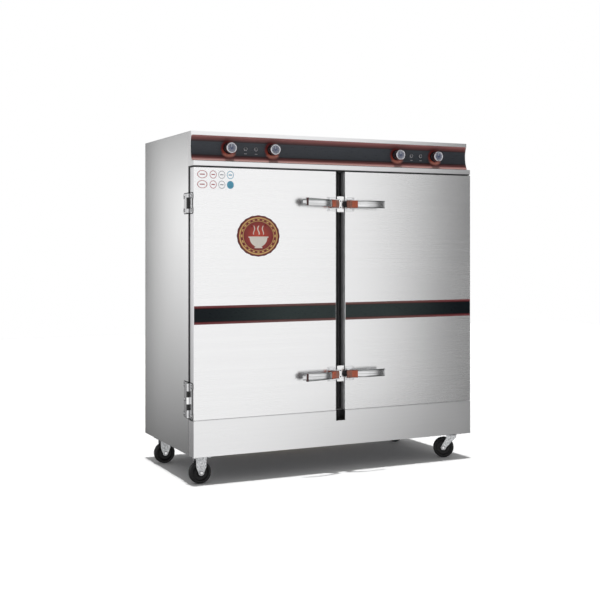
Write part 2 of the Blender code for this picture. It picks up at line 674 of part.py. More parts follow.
def build_heater(name, middle):
    """An immersion heater: a bent tube whose ends sit in a flange on the sump's back wall."""
    route = heater_route(middle)
    curve = bpy.data.curves.new("heater_tube", "CURVE")
    curve.dimensions = "3D"
    curve.bevel_depth = HEATER_RADIUS
    curve.bevel_resolution = 1
    curve.use_fill_caps = True
    spline = curve.splines.new("POLY")
    spline.points.add(len(route) - 1)
    for point, place in zip(spline.points, route):
        point.co = (*place, 1)
    guide = bpy.data.objects.new("heater_tube", curve)
    bpy.context.scene.collection.objects.link(guide)
    bpy.context.view_layer.update()
    tube_mesh = guide.to_mesh()
    bm = bmesh.new()
    bm.from_mesh(tube_mesh)
    bmesh.ops.remove_doubles(bm, verts=bm.verts, dist=BITE / 5)
    guide.to_mesh_clear()
    bpy.data.objects.remove(guide)
    bpy.data.curves.remove(curve)
    heater = add_object(f"heater_{name}", bm, "heater")
    wall = CHAMBER_BACK - SHEET - SEAT
    reach = HEATER_PITCH * (HEATER_RUNS - 1) / 2 + HEATER_FLANGE_MARGIN
    flange = block(
        (middle - reach, wall - HEATER_FLANGE_SHEET, HEATER_Z - HEATER_FLANGE_HEIGHT / 2),
        (middle + reach, wall, HEATER_Z + HEATER_FLANGE_HEIGHT / 2),
    )
    stub = rod((middle, wall, HEATER_Z), Y_AXIS, HEATER_STUB_RADIUS, -BITE, HEATER_STUB_LENGTH)
    fuse(heater, flange, stub)


def build_rack(name, low_x, high_x):
    """The tray rack: two ladders of flat ledges on uprights, tied together at the back."""
    front = CHAMBER_FRONT + RACK_FRONT
    back = CHAMBER_BACK - SHEET - SEAT - RACK_BACK
    foot = COVER_TOP + SEAT
    top = foot + FIRST_LEVEL + TRAY_PITCH * TRAY_LEVELS
    rack = None
    for wall, inward in ((low_x, 1), (high_x, -1)):
        outer = wall + inward * RACK_CLEARANCE
        inner = outer + inward * UPRIGHT_THICKNESS
        shapes = []
        for start in (front, back - UPRIGHT_WIDTH):
            shapes.append(block((outer, start, foot), (inner, start + UPRIGHT_WIDTH, top)))
        for level in range(TRAY_LEVELS):
            height = foot + FIRST_LEVEL + TRAY_PITCH * level
            near = (inner - inward * BITE, front - BITE, height)
            tip = (inner + inward * LEDGE_WIDTH, back + BITE, height + LEDGE_SHEET)
            shapes.append(block(near, tip))
        if rack is None:
            rack = add_object(f"tray_rack_{name}", shapes.pop(0), "liner")
        else:
            middle = (low_x + high_x) / 2
            for height in (foot, top - TIE_SIZE):
                reach = (high_x - low_x) / 2 - RACK_CLEARANCE - UPRIGHT_THICKNESS + BITE
                low = (middle - reach, back - TIE_SIZE, height + BITE)
                high = (middle + reach, back - BITE, height + TIE_SIZE - BITE)
                shapes.insert(0, block(low, high))
        fuse(rack, *shapes)


def build_water_parts():
    """Feed tank between the chambers, with its inlet, and the drain under the base with its lever."""
    tank_z = BASE_Z + BASE_SHEET + SEAT
    low = (-TANK_HALF_WIDTH, TANK_BACK - TANK_LENGTH, tank_z)
    high = (TANK_HALF_WIDTH, TANK_BACK, INLET_Z + TANK_RIM)
    tank = add_object("feed_tank", folded_pan(low, high, SHEET, Z_AXIS), "liner")
    shapes = []
    reach = MOUTH_INNER_X + LINK_REACH
    for side in SIDES.values():
        start, end = sorted((side * (TANK_HALF_WIDTH - BITE), side * reach))
        shapes.append(rod((0, TANK_MIDDLE_Y, SUMP_Z + LINK_RISE), X_AXIS, LINK_RADIUS, start, end))
    inlet = (0, TANK_BACK, INLET_Z)
    inlet_end = BACK_Y - TANK_BACK + INLET_REACH
    shapes.append(rod(inlet, Y_AXIS, INLET_RADIUS, -BITE, inlet_end))
    fuse(tank, *shapes)
    bore = LINK_RADIUS - PIPE_WALL
    through = rod((0, TANK_MIDDLE_Y, SUMP_Z + LINK_RISE), X_AXIS, bore, -reach - OVERRUN, reach + OVERRUN)
    cut(tank, through, rod(inlet, Y_AXIS, INLET_RADIUS - PIPE_WALL, -OVERRUN, inlet_end + OVERRUN))

    run = CHAMBER_X + MANIFOLD_RADIUS
    pipe_shape = rod((0, DRAIN_Y, MANIFOLD_Z), X_AXIS, MANIFOLD_RADIUS, -run, run)
    pipe = add_object("drain_pipe", pipe_shape, "brass")
    rise = MANIFOLD_DROP - DRAIN_SPIGOT_BELOW - SEAT
    inside = MANIFOLD_RADIUS / 2
    sockets = [
        rod((side * CHAMBER_X, DRAIN_Y, MANIFOLD_Z), Z_AXIS, DRAIN_RADIUS, inside, rise)
        for side in SIDES.values()
    ]
    outlet = (0, VALVE_Y, MANIFOLD_Z)
    half = VALVE_LENGTH / 2
    waist = VALVE_NUT_RADIUS
    start = DRAIN_Y - VALVE_Y + inside
    body = [(0, start), (BRANCH_RADIUS, start), (BRANCH_RADIUS, -half), (waist, -half)]
    body += [(waist, VALVE_NUT_LENGTH - half), (VALVE_RADIUS, 2 * VALVE_NUT_LENGTH - half)]
    body += [(waist, half - VALVE_NUT_LENGTH / 2), (waist, half), (0, half)]
    stem = rod(outlet, Z_AXIS, STEM_RADIUS, VALVE_RADIUS / 2, VALVE_RADIUS + STEM_HEIGHT, SMALL_STEPS)
    fuse(pipe, *sockets, turned(body, outlet, Y_AXIS, PIPE_STEPS), stem)
    cut(pipe, rod(outlet, Y_AXIS, BRANCH_RADIUS - PIPE_WALL, half - OVERRUN, half + OVERRUN))

    lever_z = MANIFOLD_Z + VALVE_RADIUS + SEAT
    width = DRAIN_LEVER_WIDTH
    bar = rounded_rectangle(DRAIN_LEVER_LENGTH + width, width, width / 2 - BITE, LEAF_CORNER_STEPS)
    shifted = [(a + DRAIN_LEVER_LENGTH / 2, b + VALVE_Y) for a, b in bar]
    lever_shape = prism(shifted, along_z, lever_z, lever_z + DRAIN_LEVER_SHEET)
    lever = add_object("drain_lever", lever_shape, "lever_grip", (0, VALVE_Y, lever_z))
    bore = running_bore(STEM_RADIUS, SMALL_STEPS)
    cut(lever, rod(outlet, Z_AXIS, bore, VALVE_RADIUS - OVERRUN, VALVE_RADIUS + OVERRUN, SMALL_STEPS))


def build_keepers():
    """The two striking plates on the mullion, each a box with its front between the doors."""
    for level, height in LATCH_HEIGHT.items():
        half = DOOR_GAP / 2 - KEEPER_CLEARANCE
        low = (-half, FACE_Y, BASE_Z + height - KEEPER_HEIGHT / 2)
        high = (half, FRAME_Y - SEAT, BASE_Z + height + KEEPER_HEIGHT / 2)
        add_object(f"keeper_{level}", folded_pan(low, high, KEEPER_SHEET, Y_AXIS), "keeper")


def build_controls():
    """Knobs that turn on spindles through the fascia, and the indicator lamps between them."""
    panel_y = FACE_Y + panel_depth(CONTROL_HEIGHT)
    knob_back = FACE_Y + min(panel_depth(CONTROL_HEIGHT + way * KNOB_RADIUS) for way in (-1, 1)) - SEAT
    lamp_back = FACE_Y + min(panel_depth(CONTROL_HEIGHT + way * LAMP_RADIUS) for way in (-1, 1)) - SEAT
    spindle = panel_y - knob_back + SPINDLE_LENGTH
    face = KNOB_LENGTH - KNOB_DISH
    knob_profile = [(0, -spindle), (SPINDLE_RADIUS, -spindle), (SPINDLE_RADIUS, 0), (KNOB_RADIUS, 0)]
    knob_profile += [(KNOB_RADIUS, KNOB_RIM), (KNOB_WAIST, 2 * KNOB_RIM)]
    knob_profile += [(KNOB_WAIST, KNOB_LENGTH - 2 * KNOB_RIM), (KNOB_RADIUS, KNOB_LENGTH - KNOB_RIM)]
    knob_profile += [(KNOB_RADIUS - KNOB_RIM / 2, KNOB_LENGTH), (KNOB_WAIST - KNOB_RIM, KNOB_LENGTH)]
    knob_profile += [(KNOB_WAIST - KNOB_RIM - KNOB_DISH, face), (0, face)]
    barrel = panel_y - lamp_back + LAMP_BARREL_LENGTH
    lamp_profile = [(0, -barrel), (LAMP_BARREL_RADIUS, -barrel), (LAMP_BARREL_RADIUS, 0), (LAMP_RADIUS, 0)]
    lamp_profile += [(LAMP_RADIUS, LAMP_BEZEL / 2), (LAMP_BARREL_RADIUS, LAMP_BEZEL)]
    for step in range(1, LAMP_DOME_STEPS):
        angle = math.pi / 2 * step / LAMP_DOME_STEPS
        lamp_profile.append((LAMP_BARREL_RADIUS * math.cos(angle), LAMP_BEZEL + LAMP_DOME * math.sin(angle)))
    lamp_profile.append((0, LAMP_BEZEL + LAMP_DOME))
    control_z = BASE_Z + CONTROL_HEIGHT
    for name, side in SIDES.items():
        for place, x in KNOB_X.items():
            centre = (side * x, knob_back, control_z)
            shape = turned(knob_profile, centre, -Y_AXIS, KNOB_STEPS)
            knob = add_object(f"knob_{name}_{place}", shape, "knob", centre)
            low = (side * x - POINTER_WIDTH / 2, knob_back - KNOB_LENGTH, control_z)
            high = (side * x + POINTER_WIDTH / 2, knob_back - face + BITE, control_z + KNOB_WAIST - KNOB_RIM)
            fuse(knob, block(low, high))
        for place, x in LAMP_X.items():
            centre = (side * x, lamp_back, control_z)
            shape = turned(lamp_profile, centre, -Y_AXIS, PIPE_STEPS)
            add_object(f"lamp_{name}_{place}", shape, "lamp", centre)


def lever_sections(side, pin_y, height):
    """Cross-sections of the arched lever from its boss to its tip, in plan a rise and a slow fall."""
    thinning = LEVER_THICKNESS_ROOT - LEVER_THICKNESS_TIP
    narrowing = LEVER_HEIGHT_ROOT - LEVER_HEIGHT_TIP
    peak_thickness = LEVER_THICKNESS_ROOT - thinning * LEVER_PEAK_SHARE
    rise = LATCH_REACH - peak_thickness / 2 - LATCH_PIN_OUT
    shares = np.linspace(0, 1, LEVER_STATIONS)
    climb = np.sin(np.pi / 2 * np.minimum(shares / LEVER_PEAK_SHARE, 1))
    past_peak = np.maximum(shares - LEVER_PEAK_SHARE, 0) / (1 - LEVER_PEAK_SHARE)
    across = side * (LATCH_PIN_X + LEVER_LENGTH * shares)
    out = pin_y - rise * climb + LEVER_FALL * past_peak**2
    run = np.stack([np.gradient(across), np.gradient(out)], axis=1)
    run /= np.linalg.norm(run, axis=1)[:, None]
    sections = []
    for index, share in enumerate(shares):
        thick = LEVER_THICKNESS_ROOT - thinning * share
        tall = LEVER_HEIGHT_ROOT - narrowing * share
        normal = (-run[index, 1], run[index, 0])
        ring = rounded_rectangle(thick, tall, thick / 3, LEVER_CORNER_STEPS)
        points = [(across[index] + a * normal[0], out[index] + a * normal[1], height + b) for a, b in ring]
        sections.append(points)
    return sections


def build_latch(level, name, side, door):
    """A lever with a round boss on a vertical pin, held by the two ears of its bracket on the door."""
    height = BASE_Z + LATCH_HEIGHT[level]
    pin_y = FACE_Y - LATCH_PIN_OUT
    pin = (side * LATCH_PIN_X, pin_y, height)
    half = LEVER_HEIGHT_ROOT / 2
    plate_in = DOOR_GAP / 2 + BASE_PLATE_MARGIN
    plate_out = plate_in + BASE_PLATE_WIDTH
    plate_y = FACE_Y - SEAT - BASE_PLATE_SHEET
    low_x, high_x = mirrored_x(side, plate_in, plate_out)
    plate_half = BASE_PLATE_HEIGHT / 2
    plate = block((low_x, plate_y, height - plate_half), (high_x, FACE_Y - SEAT, height + plate_half))
    base = add_object(f"latch_base_{level}_{name}", plate, "hardware")
    ear = []
    for step in range(LEAF_CORNER_STEPS + 1):
        angle = math.pi + EAR_SWEEP * step / LEAF_CORNER_STEPS
        ear.append((LATCH_PIN_X + EAR_RADIUS * math.cos(angle), pin_y + EAR_RADIUS * math.sin(angle)))
    ear += [(plate_out - BITE, plate_y + BITE), (plate_in + BITE, plate_y + BITE)]
    outline = [(side * a, b) for a, b in ear]
    lower = height - half - SEAT
    upper = height + half + SEAT
    fuse(
        base,
        prism(outline, along_z, lower - EAR_SHEET, lower),
        prism(outline, along_z, upper, upper + EAR_SHEET),
        rod(pin, Z_AXIS, LATCH_PIN_RADIUS, -half - SEAT - EAR_SHEET, half + SEAT + EAR_SHEET, SMALL_STEPS),
    )
    carry(door, base)
    shape = lofted(lever_sections(side, pin_y, height))
    lever = add_object(f"latch_lever_{level}_{name}", shape, "hardware", pin)
    fuse(lever, rod(pin, Z_AXIS, BOSS_RADIUS, -half, half, ROUND_STEPS))
    bore = running_bore(LATCH_PIN_RADIUS, SMALL_STEPS)
    cut(lever, rod(pin, Z_AXIS, bore, -half - OVERRUN, half + OVERRUN, SMALL_STEPS))
    carry(door, lever)


def leaf_plate(side, near, far, bottom, top):
    """A hinge leaf: a plate flat on the body's side, with round corners at its far edge."""
    low, high = min(near, far), max(near, far)
    middle = ((low + high) / 2, (bottom + top) / 2)
    outline = rounded_rectangle(high - low, top - bottom, LEAF_CORNER, LEAF_CORNER_STEPS)
    edge_x = sorted((side * (HALF_WIDTH + SEAT), side * (HALF_WIDTH + SEAT + LEAF_SHEET)))
    placed = [(a + middle[0], b + middle[1]) for a, b in outline]
    return prism(placed, along_x, *edge_x)


def build_hinge(level, name, side, door):
    """One hinge: the body leaf holds the middle knuckle, the door leaf the outer two and the pin."""
    bottom = BASE_Z + HINGE_BOTTOM[level]
    top = bottom + HINGE_LENGTH[level]
    middle = (bottom + top) / 2
    axis = (side * HINGE_X, HINGE_Y, middle)
    half = (top - bottom) / 2
    knuckle = half * KNUCKLE_SHARE
    edge_x = mirrored_x(side, HALF_WIDTH + SEAT, HALF_WIDTH + SEAT + LEAF_SHEET)
    clear = BARREL_RADIUS + LEAF_CLEARANCE

    near = HINGE_Y + clear
    shape = leaf_plate(side, max(near, FRAME_Y), HINGE_Y + LEAF_REACH, bottom, top)
    body_leaf = add_object(f"hinge_body_leaf_{level}_{name}", shape, "hardware")
    tab = block((edge_x[0], HINGE_Y, middle - knuckle), (edge_x[1], FRAME_Y + LEAF_CORNER, middle + knuckle))
    fuse(body_leaf, tab, rod(axis, Z_AXIS, BARREL_RADIUS, -knuckle, knuckle))
    bore = running_bore(HINGE_PIN_RADIUS, SMALL_STEPS)
    cut(body_leaf, rod(axis, Z_AXIS, bore, -half - OVERRUN, half + OVERRUN, SMALL_STEPS))

    far = HINGE_Y - clear
    shape = leaf_plate(side, FACE_Y + LEAF_FRONT, far, bottom, top)
    door_leaf = add_object(f"hinge_door_leaf_{level}_{name}", shape, "hardware", axis)
    shapes = []
    for way in (-1, 1):
        inner, outer = way * (knuckle + SEAT), way * half
        start, end = sorted((inner, outer))
        foot = block((edge_x[0], far - LEAF_CORNER, middle + start), (edge_x[1], HINGE_Y, middle + end))
        shapes += [foot, rod(axis, Z_AXIS, BARREL_RADIUS, start, end)]
    shapes.append(rod(axis, Z_AXIS, HINGE_PIN_RADIUS, -half, half, SMALL_STEPS))
    fuse(door_leaf, *shapes)
    carry(door, door_leaf)


def rounded_door_skin(low, high):
    """The outer skin: a folded pan whose front edges are rounded."""
    bm = folded_pan(low, high, SHEET, Y_AXIS)
    front = min(low[1], high[1])
    edges = [edge for edge in bm.edges if all(abs(vert.co.y - front) < BITE for vert in edge.verts)]
    bmesh.ops.bevel(bm, geom=edges, offset=SHEET * EDGE_ROUND_SHARE, segments=2, affect="EDGES")
    return bm


def build_door(name, side):
    """A door: folded outer skin, inner skin with its raised plug, and the gasket round the plug."""
    hinge = carrier(f"door_axis_{name}", (side * HINGE_X, HINGE_Y, BASE_Z))
    low_x, high_x = mirrored_x(side, DOOR_GAP / 2, HALF_WIDTH)
    bottom, top = BASE_Z + DOOR_BOTTOM, BASE_Z + DOOR_TOP
    low = (low_x, FACE_Y, bottom)
    high = (high_x, FACE_Y + DOOR_THICKNESS, top)
    carry(hinge, add_object(f"door_skin_{name}", rounded_door_skin(low, high), "casing"))

    free, hinged = side * (DOOR_GAP / 2 + GASKET_MARGIN), side * (HALF_WIDTH - GASKET_MARGIN_HINGE)
    ring_low = (min(free, hinged), bottom + GASKET_MARGIN)
    ring_high = (max(free, hinged), top - GASKET_MARGIN)
    back = FACE_Y + DOOR_THICKNESS
    rim = SHEET + SEAT
    low = (low_x + rim, back - DOOR_RIM, bottom + rim)
    high = (high_x - rim, back, top - rim)
    inner = add_object(f"door_liner_{name}", folded_pan(low, high, SHEET, -Y_AXIS), "liner")
    inset = GASKET_WIDTH + SEAT
    plug_low = (ring_low[0] + inset, back - BITE, ring_low[1] + inset)
    plug_high = (ring_high[0] - inset, back + PLUG_DEPTH, ring_high[1] - inset)
    fuse(inner, block(plug_low, plug_high))
    hollow = block(
        (plug_low[0] + SHEET, back - SHEET - OVERRUN, plug_low[2] + SHEET),
        (plug_high[0] - SHEET, plug_high[1] - SHEET, plug_high[2] - SHEET),
    )
    carry(hinge, cut(inner, hollow))

    seal_front, seal_back = back + SEAT, FRAME_Y - SEAT
    shape = block((ring_low[0], seal_front, ring_low[1]), (ring_high[0], seal_back, ring_high[1]))
    gasket = add_object(f"door_gasket_{name}", shape, "gasket")

    def inside_ring(margin, front):
        near = (ring_low[0] + margin, front, ring_low[1] + margin)
        return block(near, (ring_high[0] - margin, seal_back + OVERRUN, ring_high[1] - margin))

    cut(gasket, inside_ring(GASKET_WIDTH, seal_front - OVERRUN))
    groove_front = seal_back - GASKET_LIP
    groove = add_object("groove", inside_ring(GASKET_LIP, groove_front), None, smooth=False)
    cut(groove, inside_ring(GASKET_WIDTH - GASKET_LIP, groove_front))
    shape = bmesh.new()
    shape.from_mesh(groove.data)
    bpy.data.objects.remove(groove)
    cut(gasket, shape)
    carry(hinge, gasket)

    for level in HINGE_LENGTH:
        build_hinge(level, name, side, hinge)
    for level in LATCH_INSET:
        build_latch(level, name, side, hinge)


def cheek_outline(top_half, top_z, trail):
    """One side of a fork: wide at the top, narrowing to a round end about the axle."""
    points = [(top_half, top_z), (-top_half, top_z)]
    for step in range(LEAF_CORNER_STEPS * 2 + 1):
        angle = math.pi + math.pi * step / (LEAF_CORNER_STEPS * 2)
        reach = Vector((math.cos(angle), math.sin(angle))) * FORK_END_RADIUS
        points.append((trail + reach.x, WHEEL_RADIUS + reach.y))
    return points


def fork_shapes(centre, heading, trail, top_half, top_z):
    """The two cheeks and the axle of a fork that heads the given way from its centre."""
    ahead = Vector((math.cos(heading), math.sin(heading), 0))
    aside = Z_AXIS.cross(ahead)

    def to_space(a, b, along):
        return Vector((centre[0], centre[1], 0)) + ahead * a + aside * along + Z_AXIS * b

    shapes = []
    for start, end in ((FORK_INSIDE, FORK_INSIDE + FORK_SHEET), (-FORK_INSIDE - FORK_SHEET, -FORK_INSIDE)):
        shapes.append(prism(cheek_outline(top_half, top_z, trail), to_space, start, end))
    axle = Vector(to_space(trail, WHEEL_RADIUS, 0))
    end = FORK_INSIDE + FORK_SHEET
    profile = [(0, -end - AXLE_HEAD), (AXLE_HEAD_RADIUS, -end - AXLE_HEAD), (AXLE_HEAD_RADIUS, BITE - end)]
    profile += [(AXLE_RADIUS, BITE - end), (AXLE_RADIUS, end - BITE), (AXLE_HEAD_RADIUS, end - BITE)]
    profile += [(AXLE_HEAD_RADIUS, end + AXLE_HEAD), (0, end + AXLE_HEAD)]
    shapes.append(turned(profile, axle, aside, SMALL_STEPS))
    return shapes, axle, aside


def build_wheel(name, axle, axis):
    """A rubber-tyred wheel on a recessed disc, with its hub running on the axle."""
    half = WHEEL_WIDTH / 2
    bore = running_bore(AXLE_RADIUS, ROUND_STEPS)
    loop = [(bore, -half), (HUB_RADIUS, -half), (HUB_RADIUS, -WHEEL_WEB / 2)]
    loop += [(WHEEL_RIM_RADIUS, -WHEEL_WEB / 2), (WHEEL_RIM_RADIUS, WHEEL_EDGE - half)]
    loop += [(WHEEL_RADIUS - WHEEL_EDGE, -half), (WHEEL_RADIUS, WHEEL_EDGE - half)]
    loop += [(radius, -height) for radius, height in reversed(loop)]
    shape = turned(loop, axle, axis, ROUND_STEPS, ring=True)
    return add_object(f"caster_wheel_{name}", shape, "rubber", axle)


def caster_plate_block(x, y):
    wide, deep, thick = CASTER_PLATE
    top = BASE_Z - SEAT
    return block((x - wide / 2, y - deep / 2, top - thick), (x + wide / 2, y + deep / 2, top))


def build_rigid_caster(place):
    """A caster that only rolls: plate and cheeks in one pressing, and the wheel on its axle."""
    centre = (RIGID_X, RIGID_Y[place])
    top = BASE_Z - SEAT - CASTER_PLATE[2]
    shapes, axle, axis = fork_shapes(centre, 0, 0, FORK_TOP, top + BITE)
    fork = add_object(f"caster_fork_left_{place}", caster_plate_block(*centre), "galvanised")
    fuse(fork, *shapes)
    wheel_axis = carrier(f"wheel_axis_left_{place}", axle)
    carry(wheel_axis, build_wheel(f"left_{place}", axle, axis))


def build_swivel_caster(place):
    """A caster that also swivels: its plate holds a race and a kingpin, and the fork turns on them."""
    centre = (SWIVEL_X, SWIVEL_Y[place])
    plate_under = BASE_Z - SEAT - CASTER_PLATE[2]
    race_under = plate_under - RACE_HEIGHT
    crown_top = race_under - SEAT
    crown_under = crown_top - CROWN_HEIGHT
    plate = add_object(f"caster_plate_right_{place}", caster_plate_block(*centre), "galvanised")
    nut_top = crown_under - SEAT
    kingpin = [(0, plate_under + BITE), (RACE_RADIUS, plate_under + BITE), (RACE_RADIUS, race_under)]
    kingpin += [(KINGPIN_RADIUS, race_under), (KINGPIN_RADIUS, nut_top), (KINGPIN_NUT_RADIUS, nut_top)]
    kingpin += [(KINGPIN_NUT_RADIUS, nut_top - KINGPIN_NUT), (0, nut_top - KINGPIN_NUT)]
    fuse(plate, turned(kingpin, (*centre, 0), Z_AXIS, PIPE_STEPS))

    swivel = carrier(f"swivel_axis_{place}", (*centre, crown_top))
    shapes, axle, axis = fork_shapes(centre, SWIVEL_HEADING[place], TRAIL, CROWN_HALF, crown_under + BITE)
    crown = rod((*centre, 0), Z_AXIS, CROWN_RADIUS, crown_under, crown_top, ROUND_STEPS)
    fork = add_object(f"caster_fork_right_{place}", crown, "galvanised", (*centre, crown_top))
    fuse(fork, *shapes)
    bore = running_bore(KINGPIN_RADIUS, SMALL_STEPS)
    cut(fork, rod((*centre, 0), Z_AXIS, bore, crown_under - OVERRUN, crown_top + OVERRUN, SMALL_STEPS))
    carry(swivel, fork)
    wheel_axis = carrier(f"wheel_axis_right_{place}", axle, swivel)
    carry(wheel_axis, build_wheel(f"right_{place}", axle, axis))


def main():
    for old in list(bpy.data.objects):
        bpy.data.objects.remove(old)
    build_casing()
    build_apron()
    build_fascia()
    for name, side in SIDES.items():
        build_chamber(name, side)
    build_water_parts()
    build_keepers()
    build_controls()
    for name, side in SIDES.items():
        build_door(name, side)
    for place in RIGID_Y:
        build_rigid_caster(place)
    for place in SWIVEL_Y:
        build_swivel_caster(place)


main()
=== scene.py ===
"""Looks of a stainless two-door rice steamer cabinet on casters.

Metres, +Z up, the doors face -Y. Each section dresses one group of pieces, in the order in which the
cabinet is put together. The floor, the light and the camera come last.
"""

import json
import math

import bmesh
import bpy
import numpy as np
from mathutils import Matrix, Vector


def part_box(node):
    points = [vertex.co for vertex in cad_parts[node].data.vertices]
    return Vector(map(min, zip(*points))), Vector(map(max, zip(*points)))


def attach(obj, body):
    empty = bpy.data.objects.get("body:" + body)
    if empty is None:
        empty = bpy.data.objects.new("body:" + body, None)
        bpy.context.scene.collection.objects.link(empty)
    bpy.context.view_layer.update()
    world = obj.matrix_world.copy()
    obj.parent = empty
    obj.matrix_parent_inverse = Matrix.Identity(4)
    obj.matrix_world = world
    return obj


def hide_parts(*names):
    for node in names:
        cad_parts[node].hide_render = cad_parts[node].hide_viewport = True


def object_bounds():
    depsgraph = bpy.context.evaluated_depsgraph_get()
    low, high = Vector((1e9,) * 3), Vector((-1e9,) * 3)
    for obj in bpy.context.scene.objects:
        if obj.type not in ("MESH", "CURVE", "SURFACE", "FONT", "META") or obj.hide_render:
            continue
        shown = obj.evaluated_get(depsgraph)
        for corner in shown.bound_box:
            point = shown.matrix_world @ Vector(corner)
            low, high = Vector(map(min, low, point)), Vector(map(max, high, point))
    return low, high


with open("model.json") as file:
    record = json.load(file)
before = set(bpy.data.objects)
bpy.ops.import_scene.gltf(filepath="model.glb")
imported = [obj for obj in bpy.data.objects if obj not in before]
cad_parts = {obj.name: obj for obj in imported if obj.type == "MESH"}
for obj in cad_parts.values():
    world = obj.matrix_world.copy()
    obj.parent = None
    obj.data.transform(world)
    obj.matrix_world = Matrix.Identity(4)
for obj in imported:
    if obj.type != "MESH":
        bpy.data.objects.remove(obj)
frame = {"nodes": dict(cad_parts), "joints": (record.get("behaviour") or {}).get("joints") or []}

cad_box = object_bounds()

# Casing: side panels, the folded top and back, the front frame with its mullion, the apron and the base pan,
# in 1 mm stainless sheet, sheared, folded and spot-welded, with the mill's brush lines kept. Screws hold the
# back along each side, and the apron's top edge is turned up into a ledge with a gap at the mullion.


class Socket:
    """An output of a shader node. Arithmetic on sockets and numbers adds the Math nodes that it needs."""

    def __init__(self, tree, plug=None):
        self.tree = tree
        self.plug = plug

    def node(self, kind, settings=None, values=None, output=0):
        """Any node: its settings are set first, then the values or the links of its inputs."""
        made = self.tree.nodes.new(kind)
        for key, setting in (settings or {}).items():
            setattr(made, key, setting)
        for key, value in (values or {}).items():
            if isinstance(value, Socket):
                self.tree.links.new(value.plug, made.inputs[key])
            else:
                made.inputs[key].default_value = value
        return Socket(self.tree, made.outputs[output])

    def maths(self, operation, *others):
        """A Math node whose first value is this one."""
        return self.node("ShaderNodeMath", {"operation": operation}, dict(enumerate((self, *others))))

    def __add__(self, other):
        return self.maths("ADD", other)

    __radd__ = __add__

    def __sub__(self, other):
        return self.maths("SUBTRACT", other)

    def __rsub__(self, other):
        return self.node("ShaderNodeMath", {"operation": "SUBTRACT"}, {0: other, 1: self})

    def __mul__(self, other):
        return self.maths("MULTIPLY", other)

    __rmul__ = __mul__

    def __truediv__(self, other):
        return self.maths("DIVIDE", other)

    def size(self):
        """Absolute value."""
        return self.maths("ABSOLUTE")

    def held(self):
        """Kept between 0 and 1."""
        return self.maths("MAXIMUM", 0.0).maths("MINIMUM", 1.0)

    def span(self, other):
        """The root of the sum of both squares."""
        return (self * self + other * other).maths("SQRT")

    def off_whole(self):
        """How far this lies from the nearest whole number."""
        return (self - self.maths("ROUND")).size()

    def from_either(self, high, low):
        """How far this lies from the nearer of two values."""
        return ((self - (high + low) / 2).size() - (high - low) / 2).size()

    def rise(self, low, high):
        """0 up to the low value, 1 from the high one on, and a smooth step between them."""
        values = {0: self, 1: low, 2: high, 3: 0.0, 4: 1.0}
        return self.node("ShaderNodeMapRange", {"interpolation_type": "SMOOTHSTEP"}, values)

    def ramp(self, low, high, start, end):
        """A straight run from the start value at low to the end value at high, held beyond them."""
        return self.node("ShaderNodeMapRange", None, {0: self, 1: low, 2: high, 3: start, 4: end})

    def within(self, low, high, soft):
        """1 between two values and 0 outside them, with edges of the given softness."""
        return self.rise(low - soft / 2, low + soft / 2) * (1 - self.rise(high - soft / 2, high + soft / 2))

    def blend(self, first, second):
        """The first colour where this is 0, the second where it is 1."""
        values = {0: self, 6: first, 7: second}
        return self.node("ShaderNodeMix", {"data_type": "RGBA"}, values, 2)

    def stretched(self, scale):
        """These coordinates, multiplied on each axis."""
        return self.node("ShaderNodeMapping", None, {"Vector": self, "Scale": scale})

    def noise(self, scale, detail=3.0, roughness=0.5):
        values = {"Vector": self, "Scale": scale, "Detail": detail, "Roughness": roughness}
        return self.node("ShaderNodeTexNoise", None, values)

    def axes(self):
        """The three coordinates, each on its own."""
        split = self.node("ShaderNodeSeparateXYZ", None, {0: self})
        return [Socket(self.tree, plug) for plug in split.plug.node.outputs]

    def bump(self, height):
        """A surface normal from this as a height field, in metres of relief."""
        return self.node("ShaderNodeBump", None, {"Height": self, "Distance": height, "Strength": 1.0})


def finish(name, pattern, coordinates="Object", **constants):
    """A Principled material. The pattern takes coordinates and returns what varies over the surface."""
    made = bpy.data.materials.new(name)
    made.use_nodes = True
    shader = made.node_tree.nodes["Principled BSDF"]
    for key, value in constants.items():
        shader.inputs[key.replace("_", " ")].default_value = value
    start = Socket(made.node_tree)
    if coordinates == "Object":
        place = start.node("ShaderNodeTexCoord", output="Object")
    else:
        place = start.node("ShaderNodeUVMap", {"uv_map": coordinates})
    for key, value in pattern(place).items():
        made.node_tree.links.new(value.plug, shader.inputs[key])
    return made


def tone(colour, factor):
    """A colour made lighter or darker, with its alpha."""
    return (*(min(channel * factor, 1.0) for channel in colour), 1.0)


def brushed(colour, roughness, grain, relief=0.000006, streak=0.25, cloud=0.4):
    """Brush lines drawn out along the grain, over soft streaks and the broad unevenness of rolled sheet."""

    def pattern(place):
        lines = place.stretched(grain).noise(1.0, 4.0, 0.7)
        streaks = place.stretched([value / 14 for value in grain]).noise(1.0, 2.0, 0.5)
        clouds = place.noise(2.3, 2.0, 0.5)
        shade = (lines - 0.5) * 0.11 + (streaks - 0.5) * streak + (clouds - 0.5) * cloud + 0.5
        return {
            "Base Color": shade.blend(tone(colour, 0.88), tone(colour, 1.12)),
            "Roughness": (lines - 0.5) * 0.12 + (clouds - 0.5) * 0.10 + roughness,
            "Normal": lines.bump(relief),
        }

    return pattern


def bare_metal(name, colour, roughness, grain, **unevenness):
    """Brushed, turned or rolled metal, the same all over the piece."""
    return finish(name, brushed(colour, roughness, grain, **unevenness), Metallic=1.0)


def dress(material, *nodes):
    """Gives nodes of the frame their finish."""
    for name in nodes:
        for holder in frame["nodes"][name].material_slots:
            holder.material = material


